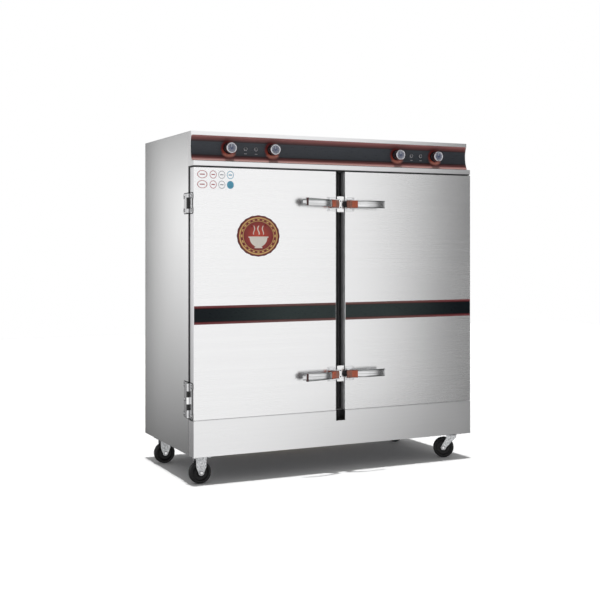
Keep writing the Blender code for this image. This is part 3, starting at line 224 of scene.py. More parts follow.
def shell(points, ends=True):
    """Corners and faces of a grid of points, rows by columns, whose last column joins the first. ends closes
    the first row and the last with a face each."""
    rows, columns = points.shape[:2]
    near = np.arange(rows * columns).reshape(rows, columns)
    far = np.roll(near, -1, axis=1)
    faces = [np.stack([near[:-1], far[:-1], far[1:], near[1:]], axis=-1).reshape(-1, 4)]
    if ends:
        faces += [near[:1], near[-1:]]
    return points.reshape(-1, 3), faces


CREASE_DEGREES = 35


def piece(name, shells, material, slot, body, *nodes, prints=None):
    """One object from one or more shells, riding on a body and standing for the nodes that are named.
    prints is (centre, across, up): the piece then has a UV map of metres from that centre."""
    starts = np.cumsum([0] + [len(points) for points, groups in shells])
    points = np.concatenate([points for points, groups in shells])
    faces = []
    for start, (spare, groups) in zip(starts, shells):
        for group in groups:
            faces += (group + start).tolist()
    mesh = bpy.data.meshes.new(name)
    mesh.from_pydata(points.tolist(), [], faces)
    bm = bmesh.new()
    bm.from_mesh(mesh)
    bmesh.ops.remove_doubles(bm, verts=bm.verts, dist=1e-6)
    bmesh.ops.recalc_face_normals(bm, faces=bm.faces)
    bm.to_mesh(mesh)
    bm.free()
    if prints:
        centre, across, up = (np.array(part, float) for part in prints)
        places = np.empty(len(mesh.vertices) * 3)
        mesh.vertices.foreach_get("co", places)
        offsets = places.reshape(-1, 3) - centre
        corners = np.empty(len(mesh.loops), int)
        mesh.loops.foreach_get("vertex_index", corners)
        layer = mesh.uv_layers.new(name="print")
        layer.data.foreach_set("uv", np.stack([offsets @ across, offsets @ up], axis=1)[corners].ravel())
    mesh.shade_smooth()
    mesh.set_sharp_from_angle(angle=math.radians(CREASE_DEGREES))
    mesh.materials.append(material)
    made = bpy.data.objects.new(name, mesh)
    bpy.context.scene.collection.objects.link(made)
    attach(made, body)
    if nodes:
        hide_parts(*nodes)


def turned(profile, centre, axis, steps=48, ripple=None):
    """A lathe surface. Each (radius, distance) of the profile goes round the axis at that distance from the
    centre: P = C + axis d + r (cos a u + sin a v). ripple is (share of each row, count) of flutes."""
    profile = np.array(profile, float)
    axis = np.array(axis, float) / np.linalg.norm(axis)
    helper = np.array((0.0, 0.0, 1.0)) if abs(axis[2]) < 0.9 else np.array((1.0, 0.0, 0.0))
    across = np.cross(helper, axis)
    across /= np.linalg.norm(across)
    angles = np.linspace(0, math.tau, steps, endpoint=False)
    ring = np.cos(angles)[:, None] * across + np.sin(angles)[:, None] * np.cross(axis, across)
    radius = profile[:, :1, None] * np.ones((1, steps, 1))
    if ripple:
        share, count = ripple
        radius = radius * (1 - np.array(share)[:, None, None] * (0.5 + 0.5 * np.cos(count * angles))[:, None])
    points = np.array(centre, float) + profile[:, 1, None, None] * axis + radius * ring
    return shell(points, bool(profile[0, 0] > 0 and profile[-1, 0] > 0))


def softened(corners, reach, steps=5):
    """Rounds the corners of an outline. Each becomes a parabola from A, short of the corner C, to B, past it:
    P = (1 - t)^2 A + 2 t (1 - t) C + t^2 B."""
    corners = np.array(corners, float)
    back = np.roll(corners, 1, axis=0) - corners
    ahead = np.roll(corners, -1, axis=0) - corners
    back_length = np.linalg.norm(back, axis=1, keepdims=True)
    ahead_length = np.linalg.norm(ahead, axis=1, keepdims=True)
    short = np.minimum(np.reshape(reach, (-1, 1)), 0.49 * np.minimum(back_length, ahead_length))
    start = (corners + back / back_length * short)[:, None]
    end = (corners + ahead / ahead_length * short)[:, None]
    t = np.linspace(0, 1, steps)[None, :, None]
    arcs = (1 - t) ** 2 * start + 2 * t * (1 - t) * corners[:, None] + t**2 * end
    return arcs.reshape(-1, corners.shape[1])


def rectangle(width, height, reach, steps=7):
    """A rectangle about the origin with soft corners, as a function of how far it is drawn in."""

    def outline(inset):
        a, b = width / 2 - inset, height / 2 - inset
        return softened([(a, -b), (a, b), (-a, b), (-a, -b)], max(reach - inset, 0.0003), steps)

    return outline


def stacked(outline, rows, centre, across, up):
    """A solid from one outline at several levels. Each row is (inset, depth): the outline is drawn in by the
    inset, and lies that deep behind the centre."""
    across, up = np.array(across, float), np.array(up, float)
    rows = np.array(rows, float)
    flat = np.stack([outline(inset) for inset in rows[:, 0]])
    points = np.array(centre, float) + flat[..., :1] * across + flat[..., 1:] * up
    points = points - rows[:, 1, None, None] * np.cross(across, up)
    return shell(points)


def edge_rows(edge, steps=4):
    """Rows of a rounded front edge, from a flat rim inwards of it round to the full outline."""
    angles = np.linspace(0, math.pi / 2, steps)
    rows = [(edge * 1.8, 0.0)]
    rows += zip(edge * (1 - np.sin(angles)), edge * (1 - np.cos(angles)))
    return rows


def plate(outline, centre, across, up, thickness, edge):
    """A flat plate whose two rims are rounded. The centre is on its front face."""
    front = edge_rows(edge)
    back = [(inset, thickness - depth) for inset, depth in reversed(front)]
    return stacked(outline, front + back, centre, across, up)


def screw(centre, axis, radius):
    """A low round head with a round recess."""
    profile = [(0, 0.10), (0.36, 0.10), (0.42, 0.52), (0.72, 0.48), (0.95, 0.28)]
    profile += [(1.0, 0.0), (0.9, -0.1), (0, -0.1)]
    return turned(np.array(profile) * radius, centre, axis, 20)


SIDES = {"left": -1, "right": 1}
RIGHTWARD = (1.0, 0.0, 0.0)
REARWARD = (0.0, 1.0, 0.0)
UPWARD = (0.0, 0.0, 1.0)
CASING = (0.92, 0.92, 0.93)
# The side panels are the same stainless as CASING; their lighter colour is painted light.
LIT_SIDE_CASING = (0.98, 0.98, 0.985)
LEVEL_GRAIN = (4.0, 4.0, 900.0)
UPRIGHT_GRAIN = (900.0, 900.0, 4.0)
EVEN_GRAIN = (300.0, 300.0, 300.0)
WALL_X = 0.6990
CORNER_SHADE_Y = -0.2730
GAP_SHADE_HALF = 0.023
casing_level = bare_metal("casing_brushed_level", CASING, 0.30, LEVEL_GRAIN)
casing_upright = bare_metal("casing_brushed_upright", LIT_SIDE_CASING, 0.19, UPRIGHT_GRAIN, cloud=0.3)


def apron_steel(place):
    """Brushed front, and side walls in a lighter plain tone as painted highlight, which end in a line of
    painted shade where they meet the side panels.
    """
    x, y, z = place.axes()
    varied = brushed(CASING, 0.30, LEVEL_GRAIN)(place)
    wall = x.size().rise(WALL_X - 0.0005, WALL_X + 0.0005)
    # A line of painted shade where each side wall meets its side panel.
    corner_shade = wall * y.rise(CORNER_SHADE_Y - 0.0006, CORNER_SHADE_Y + 0.0006)
    plain = wall.blend(varied["Base Color"], tone(CASING, 1.05))
    varied["Base Color"] = corner_shade.blend(plain, (0.20, 0.20, 0.20, 1))
    return varied


def frame_shaded_steel(place):
    """Inner sheet painted dark all over, and a black strip down the mullion between the doors' gaskets: both
    are painted shade of the gap between the doors.
    """
    x, y, z = place.axes()
    varied = brushed((0.40, 0.40, 0.41), 0.42, UPRIGHT_GRAIN)(place)
    # The black strip down the mullion is painted shade.
    gap_shade = x.size().rise(GAP_SHADE_HALF + 0.0004, GAP_SHADE_HALF - 0.0004)
    varied["Base Color"] = gap_shade.blend(varied["Base Color"], (0.100, 0.100, 0.102, 1))
    varied["Roughness"] = gap_shade * 0.15 + varied["Roughness"]
    return varied


apron_sheet = finish("apron_brushed", apron_steel, Metallic=1.0)
frame_shaded_sheet = finish("front_frame_sheet", frame_shaded_steel, Metallic=1.0)
# The base pan's steel is painted much darker than the casing: painted shade under the cabinet.
pan_sheet = bare_metal("base_pan_sheet", (0.26, 0.26, 0.27), 0.50, UPRIGHT_GRAIN)
dress(casing_level, "rear_top_sheet", "control_fascia")
dress(apron_sheet, "apron")
dress(pan_sheet, "base_pan")
dress(casing_upright, "side_panel_left", "side_panel_right")
dress(frame_shaded_sheet, "front_frame")

HARDWARE = (0.78, 0.78, 0.79)
HINGE_REACH = 0.013
BACK_LAP = 0.0013
SCREW_RADIUS = 0.0042
SCREW_INSET = 0.010
SCREW_END = 0.05
SCREW_ROWS = 6
hardware = bare_metal("turned_steel", HARDWARE, 0.20, EVEN_GRAIN, cloud=0.3)
body_half = cad_box[1].x - HINGE_REACH
rear_low, rear_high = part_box("side_panel_left")
back_screws = []
for side in SIDES.values():
    for height in np.linspace(rear_low.z + SCREW_END, rear_high.z - SCREW_END, SCREW_ROWS):
        place = (side * (body_half - SCREW_INSET), rear_high.y + BACK_LAP, height)
        back_screws.append(screw(place, REARWARD, SCREW_RADIUS))
piece("back_screws", back_screws, hardware, "hardware", "cabinet")

LEDGE_RISE = 0.0028
LEDGE_DEPTH = 0.0040
LEDGE_ROUND = 0.0008
LEDGE_EDGE = 0.0004
LEDGE_PROUD = 0.0002
LEDGE_LAP = 0.0003
NOTCH_HALF = 0.023
apron_low, apron_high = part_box("apron")
ledges = []
for side in SIDES.values():
    length = apron_high.x - NOTCH_HALF
    outline = rectangle(length, LEDGE_RISE, LEDGE_ROUND, 4)
    middle = side * (NOTCH_HALF + length / 2)
    centre = (middle, apron_low.y - LEDGE_PROUD, apron_high.z + LEDGE_RISE / 2 - LEDGE_LAP)
    ledges.append(plate(outline, centre, RIGHTWARD, UPWARD, LEDGE_DEPTH, LEDGE_EDGE))
piece("apron_ledge", ledges, casing_level, "casing", "cabinet")

# Doors: each an outer skin folded from one sheet, an inner skin with a raised plug, and a rubber gasket with
# two lips that presses on the front frame. Foam fills the space between the skins.
# The outer skin is brushed along its width and its front edges are rolled over a small radius.

DOOR_EDGE = 0.0014
DOOR_CORNER = 0.003
DOOR_SHEET = 0.0010
DOOR = (0.93, 0.93, 0.94)
RUBBER = (0.020, 0.020, 0.022)
DOOR_MIDDLE = 0.3615
DOOR_HALF = 0.3385
DOOR_BACK = -0.2945


def door_steel(place):
    """Brushed front, and side walls painted darker and rougher as painted shade: |x| is folded about a door's
    middle.
    The walls that face each other over the mullion are made partly non-metallic towards the front, so that
    they read lighter inside the gap: painted light."""
    x, y, z = place.axes()
    varied = brushed(DOOR, 0.26, LEVEL_GRAIN, cloud=0.35)(place)
    wall = ((x.size() - DOOR_MIDDLE).size()).rise(DOOR_HALF - 0.0012, DOOR_HALF - 0.0002)
    # The side walls are painted darker as painted shade.
    varied["Base Color"] = wall.blend(varied["Base Color"], (0.84, 0.84, 0.85, 1))
    varied["Roughness"] = wall * 0.15 + varied["Roughness"]
    # Towards the front the gap walls are made partly non-metallic, as painted light in the gap's shadow.
    inner = wall * x.size().rise(0.10, 0.05)
    varied["Metallic"] = 1 - inner * y.rise(DOOR_BACK - 0.002, DOOR_BACK - 0.040) * 0.55
    return varied


door_sheet = finish("door_brushed", door_steel)
inner_sheet = bare_metal("inner_skin_brushed", (0.66, 0.67, 0.68), 0.36, UPRIGHT_GRAIN)


def moulded(colour, roughness, grain=700.0, relief=0.00003, spread=0.35):
    """Moulded rubber or plastic: a fine even grain and a slow change of tone where hands have polished it."""

    def pattern(place):
        fine = place.noise(grain, 2.0, 0.6)
        wear = place.noise(40.0, 3.0, 0.6)
        return {
            "Base Color": wear.blend(tone(colour, 1 - spread), tone(colour, 1 + spread)),
            "Roughness": (wear - 0.5) * 0.25 + roughness,
            "Normal": fine.bump(relief),
        }

    return pattern


def pan(outline, centre, across, up, depth, sheet, edge):
    """A sheet folded into a tray that is open at its back."""
    rows = edge_rows(edge) + [(0.0, depth), (sheet, depth), (sheet, sheet + edge), (sheet + edge, sheet)]
    return stacked(outline, rows, centre, across, up)


rubber = finish("gasket_rubber", moulded(RUBBER, 0.62), Metallic=0.0)
door_face_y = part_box("door_skin_left")[0].y
for name in SIDES:
    low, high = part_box(f"door_skin_{name}")
    outline = rectangle(high.x - low.x, high.z - low.z, DOOR_CORNER)
    centre = ((low.x + high.x) / 2, low.y, (low.z + high.z) / 2)
    skin = pan(outline, centre, RIGHTWARD, UPWARD, high.y - low.y, DOOR_SHEET, DOOR_EDGE)
    piece(f"door_shell_{name}", [skin], door_sheet, "casing", f"door_{name}", f"door_skin_{name}")
    dress(inner_sheet, f"door_liner_{name}")
    dress(rubber, f"door_gasket_{name}")

# Printed bands on the doors: self-adhesive film, black between two dark red borders that fade towards it.
# It runs across the whole width of each door at half height and is cut flush with the door's sides.
# Beside it the left door carries a round enamelled emblem and a small sheet of plain coloured tags.

FILM = 0.0003
FILM_GAP = 0.00005
FILM_EDGE = 0.0001
BAND_BOTTOM = 0.682
BAND_TOP = 0.761
BAND_BORDER = 0.0125


def door_band(place):
    """Black film whose two borders go from dull red at the rim to near black inside."""
    x, y, z = place.axes()
    middle = (BAND_BOTTOM + BAND_TOP) / 2
    half = (BAND_TOP - BAND_BOTTOM) / 2
    from_middle = (z - middle).size()
    border = from_middle.rise(half - BAND_BORDER - 0.0008, half - BAND_BORDER + 0.0008)
    outward = from_middle.rise(half - BAND_BORDER, half - BAND_BORDER * 0.35)
    near_end = x.size().rise(0.20, 0.66)
    dull = outward.blend((0.055, 0.030, 0.028, 1), (0.20, 0.098, 0.090, 1))
    clear = outward.blend((0.035, 0.0030, 0.004, 1), (0.22, 0.055, 0.060, 1))
    red = near_end.blend(dull, clear)
    scuff = place.stretched((60.0, 60.0, 220.0)).noise(1.0, 3.0, 0.6)
    faded = scuff.blend((0.030, 0.043, 0.043, 1), (0.042, 0.056, 0.056, 1))
    black = near_end.blend(faded, (0.0040, 0.0080, 0.011, 1))
    return {"Base Color": border.blend(black, red), "Roughness": (scuff - 0.5) * 0.20 + 0.30}


band_film = finish("door_band_film", door_band, Metallic=0.0, Specular_IOR_Level=0.12)
for name in SIDES:
    low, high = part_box(f"door_skin_{name}")
    outline = rectangle(high.x - low.x - 2 * DOOR_EDGE, BAND_TOP - BAND_BOTTOM, 0.0006, 4)
    centre = ((low.x + high.x) / 2, door_face_y - FILM, (BAND_BOTTOM + BAND_TOP) / 2)
    band = plate(outline, centre, RIGHTWARD, UPWARD, FILM - FILM_GAP, FILM_EDGE)
    piece(f"door_band_{name}", [band], band_film, "knob", f"door_{name}")

EMBLEM_CENTRE = (-0.403, 1.059)
EMBLEM_HALF = (0.101, 0.090)
EMBLEM_LOBES = 20
EMBLEM_THICKNESS = 0.0016
EMBLEM_EDGE = 0.0006
LOBE_SHARE = 0.018


def emblem_enamel(place):
    """A red field in two gold rings, with a white bowl under three wisps of steam."""
    u, v, w = place.axes()
    radius = (u / EMBLEM_HALF[0]).span(v / EMBLEM_HALF[1])
    glow = radius.rise(0.0, 0.80)
    field = glow.blend((0.62, 0.055, 0.020, 1), (0.20, 0.006, 0.006, 1))
    gold = place.noise(90.0, 2.0, 0.5).blend((0.60, 0.33, 0.09, 1), (0.86, 0.58, 0.22, 1))
    ring = radius.within(0.84, 0.90, 0.02) + radius.within(0.70, 0.725, 0.015)
    rim = radius.rise(0.93, 0.96)
    angle = v.maths("ARCTAN2", u) * (EMBLEM_LOBES / math.tau)
    beads = (angle.off_whole() * 2.0).rise(0.55, 0.35) * radius.within(0.75, 0.81, 0.02)
    bowl = u.span(v + 0.006).rise(0.0425, 0.0415) * v.rise(-0.0055, -0.0065)
    lip = u.size().rise(0.0475, 0.0465) * v.within(-0.0075, -0.0025, 0.001)
    foot = u.size().rise(0.0185, 0.0175) * v.within(-0.0530, -0.0465, 0.001)
    sway = (v * 150.0).maths("SINE") * 0.0035
    wisp = (u - sway).size()
    side_wisp = ((u.size() - sway * 0.8) - 0.021).size()
    steam = (wisp.rise(0.0030, 0.0020) + side_wisp.rise(0.0026, 0.0016)) * v.within(0.006, 0.044, 0.006)
    white = (bowl + lip + foot + steam).held()
    metal = (ring + beads).held()
    colour = white.blend(metal.blend(field, gold), (0.86, 0.80, 0.72, 1))
    wear = place.noise(35.0, 3.0, 0.6)
    return {
        "Base Color": rim.blend(colour, (0.10, 0.010, 0.008, 1)),
        "Roughness": (wear - 0.5) * 0.2 + 0.30,
        "Normal": (metal + white * 0.6).bump(0.0003),
    }


def freehand(outline):
    """Any counter-clockwise outline, as a function of how far it is drawn in along its own normals."""
    run = np.roll(outline, -1, axis=0) - np.roll(outline, 1, axis=0)
    normal = np.stack([run[:, 1], -run[:, 0]], axis=1) / np.linalg.norm(run, axis=1)[:, None]
    return lambda inset: outline - inset * normal


emblem = finish("emblem_enamel", emblem_enamel, "print", Metallic=0.0)
angles = np.linspace(0, math.tau, 240, endpoint=False)
lobed = 1 - LOBE_SHARE * (0.5 - 0.5 * np.cos(EMBLEM_LOBES * angles))
outline = np.stack([EMBLEM_HALF[0] * lobed * np.cos(angles), EMBLEM_HALF[1] * lobed * np.sin(angles)], axis=1)
centre = (EMBLEM_CENTRE[0], door_face_y - EMBLEM_THICKNESS, EMBLEM_CENTRE[1])
shape = plate(freehand(outline), centre, RIGHTWARD, UPWARD, EMBLEM_THICKNESS - FILM_GAP, EMBLEM_EDGE)
piece("door_emblem", [shape], emblem, "lever_grip", "door_left", prints=(centre, RIGHTWARD, UPWARD))

TAGS_LOW = (-0.691, 1.256)
TAGS_HIGH = (-0.514, 1.341)
TAG_COLUMNS = 4
TAG_ROWS = 2


def coloured_tags(place):
    """Clear film with two rows of plain outlined tags. The first column is half as wide again as the others:
    t counts columns so that it spans 0 to 1.5, and each later one spans 1."""
    u, v, w = place.axes()
    width, height = TAGS_HIGH[0] - TAGS_LOW[0], TAGS_HIGH[1] - TAGS_LOW[1]
    t = (u / width + 0.5) * (TAG_COLUMNS + 0.5)
    row = (v / height + 0.5) * TAG_ROWS
    column_at = (t - 0.5).maths("FLOOR").maths("MAXIMUM", 0.0)
    row_at = row.maths("FLOOR")
    first = column_at.rise(0.6, 0.4)
    last = column_at.rise(2.4, 2.6)
    across = (t - column_at - 1.0 + first * 0.25) / (first * 0.45 + 1.0)
    up = row - row_at - 0.5
    radius = across.span(up)
    outline = radius.within(0.34, 0.40, 0.03)
    dash = up.size().rise(0.07, 0.04) * across.size().rise(0.22, 0.18)
    filled = last * row_at.rise(0.6, 0.4) * radius.rise(0.38, 0.34)
    second = column_at.rise(0.4, 0.6)
    third = column_at.rise(1.4, 1.6)
    red = second.blend((0.56, 0.20, 0.20, 1), (0.50, 0.10, 0.12, 1))
    colour = last.blend(third.blend(red, (0.40, 0.40, 0.44, 1)), (0.10, 0.40, 0.58, 1))
    ink = (outline + dash + filled).held()
    fine = place.noise(300.0, 2.0, 0.5)
    return {
        "Base Color": ink.blend(fine.blend(tone(DOOR, 0.94), tone(DOOR, 1.02)), colour),
        "Metallic": 1 - ink,
        "Roughness": (fine - 0.5) * 0.1 + 0.28,
    }


tags = finish("coloured_tags", coloured_tags, "print")
centre = ((TAGS_LOW[0] + TAGS_HIGH[0]) / 2, door_face_y - FILM, (TAGS_LOW[1] + TAGS_HIGH[1]) / 2)
outline = rectangle(TAGS_HIGH[0] - TAGS_LOW[0], TAGS_HIGH[1] - TAGS_LOW[1], 0.004)
shape = plate(outline, centre, RIGHTWARD, UPWARD, FILM - FILM_GAP, FILM_EDGE)
piece("door_tags", [shape], tags, "keeper", "door_left", prints=(centre, RIGHTWARD, UPWARD))

# Hinges: two on the outer side of each door, stamped from 3 mm stainless plate and screwed down. A black rim
# round the foot of each leaf is painted shade. The middle barrel, black as painted shade, belongs to the
# body's leaf, the outer two and the pin to the door's leaf. The lower barrel wears a bright collar; the dark
# dished seats round the screws and the dark rings at the ends of the outer barrels are painted shade.

LEAF_CORNER = 0.009
LEAF_EDGE = 0.0008
LEAF_LOBE = 0.024
LEAF_WAIST = 0.0075
KNUCKLE_RADIUS = 0.007
KNUCKLE_GAP = 0.0003
LEAF_FACE = 0.7033
LEAF_SHEET = 0.003
LEAF_SLOPE = 0.003
LEAF_ROUND = 0.003
LEAF_CLEAR = 0.0015
BARREL_FOOT = 0.014
FOOT_ROUND = 0.0012
RING_HALF = 0.0011
END_SCREW = 0.014
SCREW_SHIFT = 0.004
HINGE_GRAIN = (40.0, 40.0, 500.0)
joint_of = {joint["child"]: joint for joint in frame["joints"]}


def hinge_metal(place):
    """Stamped steel, with painted shade along the foot of each leaf, broken into patches by noise."""
    x, y, z = place.axes()
    varied = brushed((0.66, 0.66, 0.67), 0.24, HINGE_GRAIN, cloud=0.3)(place)
    shade_patches = place.noise(220.0, 3.0, 0.6)
    foot = x.size().rise(LEAF_FACE - 0.0002, LEAF_FACE - 0.0008)
    # Painted shade where the leaf's sides meet the panel.
    foot_shade = (foot * (shade_patches * 0.5 + 0.75)).held()
    varied["Base Color"] = foot_shade.blend(varied["Base Color"], (0.035, 0.034, 0.033, 1))
    varied["Roughness"] = foot_shade * 0.3 + varied["Roughness"]
    return varied


hinge_steel = finish("hinge_steel", hinge_metal, Metallic=1.0)
# The dark hinge finish is painted shade.
hinge_painted_shade = bare_metal("hinge_dark", (0.05, 0.05, 0.05), 0.45, EVEN_GRAIN)
collar_steel = bare_metal("hinge_collar", (0.95, 0.95, 0.95), 0.15, HINGE_GRAIN)
leaf_rim_shade = finish("hinge_sealant", moulded((0.045, 0.045, 0.048), 0.60), Metallic=0.0)
BEAD_FACE = 0.7012
bead_rows = [(0.0002, 0.0), (-0.0014, 0.0001), (-0.0026, 0.0005), (-0.0030, 0.0010), (0.0002, 0.0010)]
HINGE_SCREW = 0.0058
SEAT_RADIUS = 0.0084
SCREW_INWARD = 0.012
END_RING = 0.0076
COLLAR_HALF = 0.015
COLLAR_RADIUS = 0.0079
COLLAR_EDGE = 0.0006


def seat(centre, axis):
    """The dished seat of a screw: a ring round its head, dark as painted shade."""
    rim, depth = SEAT_RADIUS, 0.0004
    profile = [(0, 0.0003), (rim - depth, 0.0003), (rim, 0.0), (rim, -depth), (0, -depth)]
    return turned(profile, centre, axis, 28)


def leaf(near, far, height):
    """A leaf's outline from its inner edge to its outer one, with a lobe round each end screw and a waist
    between them. Its far edge points along +1 or -1, whichever side far lies on."""
    way = 1 if far > near else -1
    middle, half = (near + far) / 2, abs(far - near) / 2
    b, lobe, waist = height / 2, height / 2 - LEAF_LOBE, half - LEAF_WAIST
    corners = [(half, -b), (half, -lobe - LEAF_SLOPE), (waist, -lobe + LEAF_SLOPE)]
    corners += [(waist, lobe - LEAF_SLOPE), (half, lobe + LEAF_SLOPE), (half, b), (-half, b), (-half, -b)]
    reach = [LEAF_CORNER] + 4 * [LEAF_ROUND] + [LEAF_CORNER] + 2 * [LEAF_ROUND]
    outline = softened(corners, reach, 7) * (way, 1) + (middle, 0)
    return freehand(outline if way > 0 else outline[::-1])


def knuckle(x, y, start, end):
    """A rolled barrel with a small chamfer at each end."""
    edge = 0.0008
    profile = [(0, start), (KNUCKLE_RADIUS - edge, start), (KNUCKLE_RADIUS, start + edge)]
    profile += [(KNUCKLE_RADIUS, end - edge), (KNUCKLE_RADIUS - edge, end), (0, end)]
    return turned(profile, (x, y, 0), UPWARD, 32)


for name, side in SIDES.items():
    axis_x, axis_y, spare = joint_of[f"door_{name}"]["pos_m"]
    across = (0.0, float(side), 0.0)
    for level in ("upper", "lower"):
        low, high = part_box(f"hinge_body_leaf_{level}_{name}")
        middle_z, half = (low.z + high.z) / 2, (high.z - low.z) / 2
        barrel = half / 2
        leaf_front = low.y + KNUCKLE_RADIUS + BARREL_FOOT
        shells = []
        outline = leaf(side * leaf_front, side * high.y, high.z - low.z)
        shells.append(plate(outline, (side * LEAF_FACE, 0, middle_z), across, UPWARD, LEAF_SHEET, LEAF_EDGE))
        # A black rim under each body leaf, wider than the leaf, is painted shade round its foot.
        bead = stacked(outline, bead_rows, (side * BEAD_FACE, 0, middle_z), across, UPWARD)
        piece(f"hinge_shade_rim_body_{level}_{name}", [bead], leaf_rim_shade, "gasket", "cabinet")
        tab = rectangle(leaf_front - axis_y, 2 * barrel, FOOT_ROUND, 3)
        centre = (side * LEAF_FACE, (axis_y + leaf_front) / 2, middle_z)
        barrels = [plate(tab, centre, across, UPWARD, LEAF_SHEET, LEAF_EDGE)]
        barrels.append(knuckle(axis_x, axis_y, middle_z - barrel, middle_z + barrel))
        # The tab and the middle barrel are black as painted shade of the gap between the leaves.
        piece(f"hinge_barrel_{level}_{name}", barrels, hinge_painted_shade, "hardware", "cabinet")
        if level == "lower":
            profile = [(0, -COLLAR_HALF), (COLLAR_RADIUS - COLLAR_EDGE, -COLLAR_HALF)]
            profile += [(COLLAR_RADIUS, COLLAR_EDGE - COLLAR_HALF)]
            profile += [(radius, -height) for radius, height in reversed(profile)]
            collar = turned(profile, (axis_x, axis_y, middle_z), UPWARD, 40)
            piece(f"hinge_collar_{level}_{name}", [collar], collar_steel, "hardware", "cabinet")
        seats = []
        for rise in np.linspace(END_SCREW - half, half - END_SCREW, 2 if level == "upper" else 3):
            inward = SCREW_INWARD + (LEAF_WAIST if abs(rise) < LEAF_LOBE else 0)
            centre = (side * LEAF_FACE, high.y - inward, middle_z + rise)
            shells.append(screw(centre, (side, 0, 0), HINGE_SCREW))
            seats.append(seat(centre, (side, 0, 0)))
        # The dark seats round the screws are painted shade.
        piece(f"hinge_seats_body_{level}_{name}", seats, hinge_painted_shade, "hardware", "cabinet")
        piece(
            f"hinge_leaf_body_{level}_{name}", shells, hinge_steel, "hardware", "cabinet",
            f"hinge_body_leaf_{level}_{name}",
        )
        low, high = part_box(f"hinge_door_leaf_{level}_{name}")
        leaf_back = axis_y - KNUCKLE_RADIUS - LEAF_CLEAR
        outline = leaf(side * leaf_back, side * low.y, high.z - low.z)
        shells = [plate(outline, (side * LEAF_FACE, 0, middle_z), across, UPWARD, LEAF_SHEET, LEAF_EDGE)]
        # A black rim under each door leaf, wider than the leaf, is painted shade round its foot.
        bead = stacked(outline, bead_rows, (side * BEAD_FACE, 0, middle_z), across, UPWARD)
        piece(f"hinge_shade_rim_door_{level}_{name}", [bead], leaf_rim_shade, "gasket", f"door_{name}")
        seats = []
        for way in (-1, 1):
            start, end = sorted((way * (barrel + KNUCKLE_GAP), way * half))
            foot = rectangle(axis_y - leaf_back + LEAF_CORNER, end - start, FOOT_ROUND, 3)
            centre = (side * LEAF_FACE, (axis_y + leaf_back - LEAF_CORNER) / 2, middle_z + (start + end) / 2)
            shells.append(plate(foot, centre, across, UPWARD, LEAF_SHEET, LEAF_EDGE))
            shells.append(knuckle(axis_x, axis_y, middle_z + start, middle_z + end))
            # Dark rings at both ends of each outer barrel, and dark seats round the screws, are painted shade.
            rim = [(0, -RING_HALF), (END_RING, -RING_HALF), (END_RING, RING_HALF), (0, RING_HALF)]
            for height in (start + RING_HALF, end - RING_HALF):
                seats.append(turned(rim, (axis_x, axis_y, middle_z + height), UPWARD, 32))
            screw_y = (low.y + leaf_back) / 2 - SCREW_SHIFT
            centre = (side * LEAF_FACE, screw_y, middle_z + way * (half - END_SCREW))
            shells.append(screw(centre, (side, 0, 0), HINGE_SCREW))
            seats.append(seat(centre, (side, 0, 0)))
        piece(f"hinge_seats_door_{level}_{name}", seats, hinge_painted_shade, "hardware", f"door_{name}")
        piece(
            f"hinge_leaf_door_{level}_{name}", shells, hinge_steel, "hardware", f"door_{name}",
            f"hinge_door_leaf_{level}_{name}",
        )

# Control fascia: a steel housing whose front is hollowed to a parabola, with a white lip under it.
# A printed film covers the hollow: red-brown at its rims, dark blue-grey between, and a bright red ring round
# each knob. Painted highlight lightens the rims and a patch below each knob. It is glued down and lies a hair
# proud of the sheet.

FASCIA_BOTTOM = 1.378
FASCIA_TOP = 1.491
FASCIA_HOLLOW = 0.043
FASCIA_BOTTOM_DEPTH = 0.026
FASCIA_TOP_DEPTH = 0.033
FASCIA_CORNER = 0.007
FILM_MARGIN = 0.0016
FILM_SIDE = 0.0015
FILM_ROWS = 64
FILM_COLUMNS = 120
BANDS_MIDDLE = 1.4355
BANDS_HALF = 0.0285
KNOB_Z = 1.438
KNOB_X = (0.525, 0.318)
GLOW_RADIUS = 0.031
LAMP_X = (0.4465, 0.3965)


def fascia_depth(height):
    """Depth of the hollow behind the door faces at a height: a parabola through its rims and its middle."""
    share = (height - (FASCIA_TOP + FASCIA_BOTTOM) / 2) / ((FASCIA_TOP - FASCIA_BOTTOM) / 2)
    edge = (FASCIA_TOP_DEPTH + FASCIA_BOTTOM_DEPTH) / 2
    slope = (FASCIA_TOP_DEPTH - FASCIA_BOTTOM_DEPTH) / 2
    return FASCIA_HOLLOW + (edge - FASCIA_HOLLOW) * share**2 + slope * share


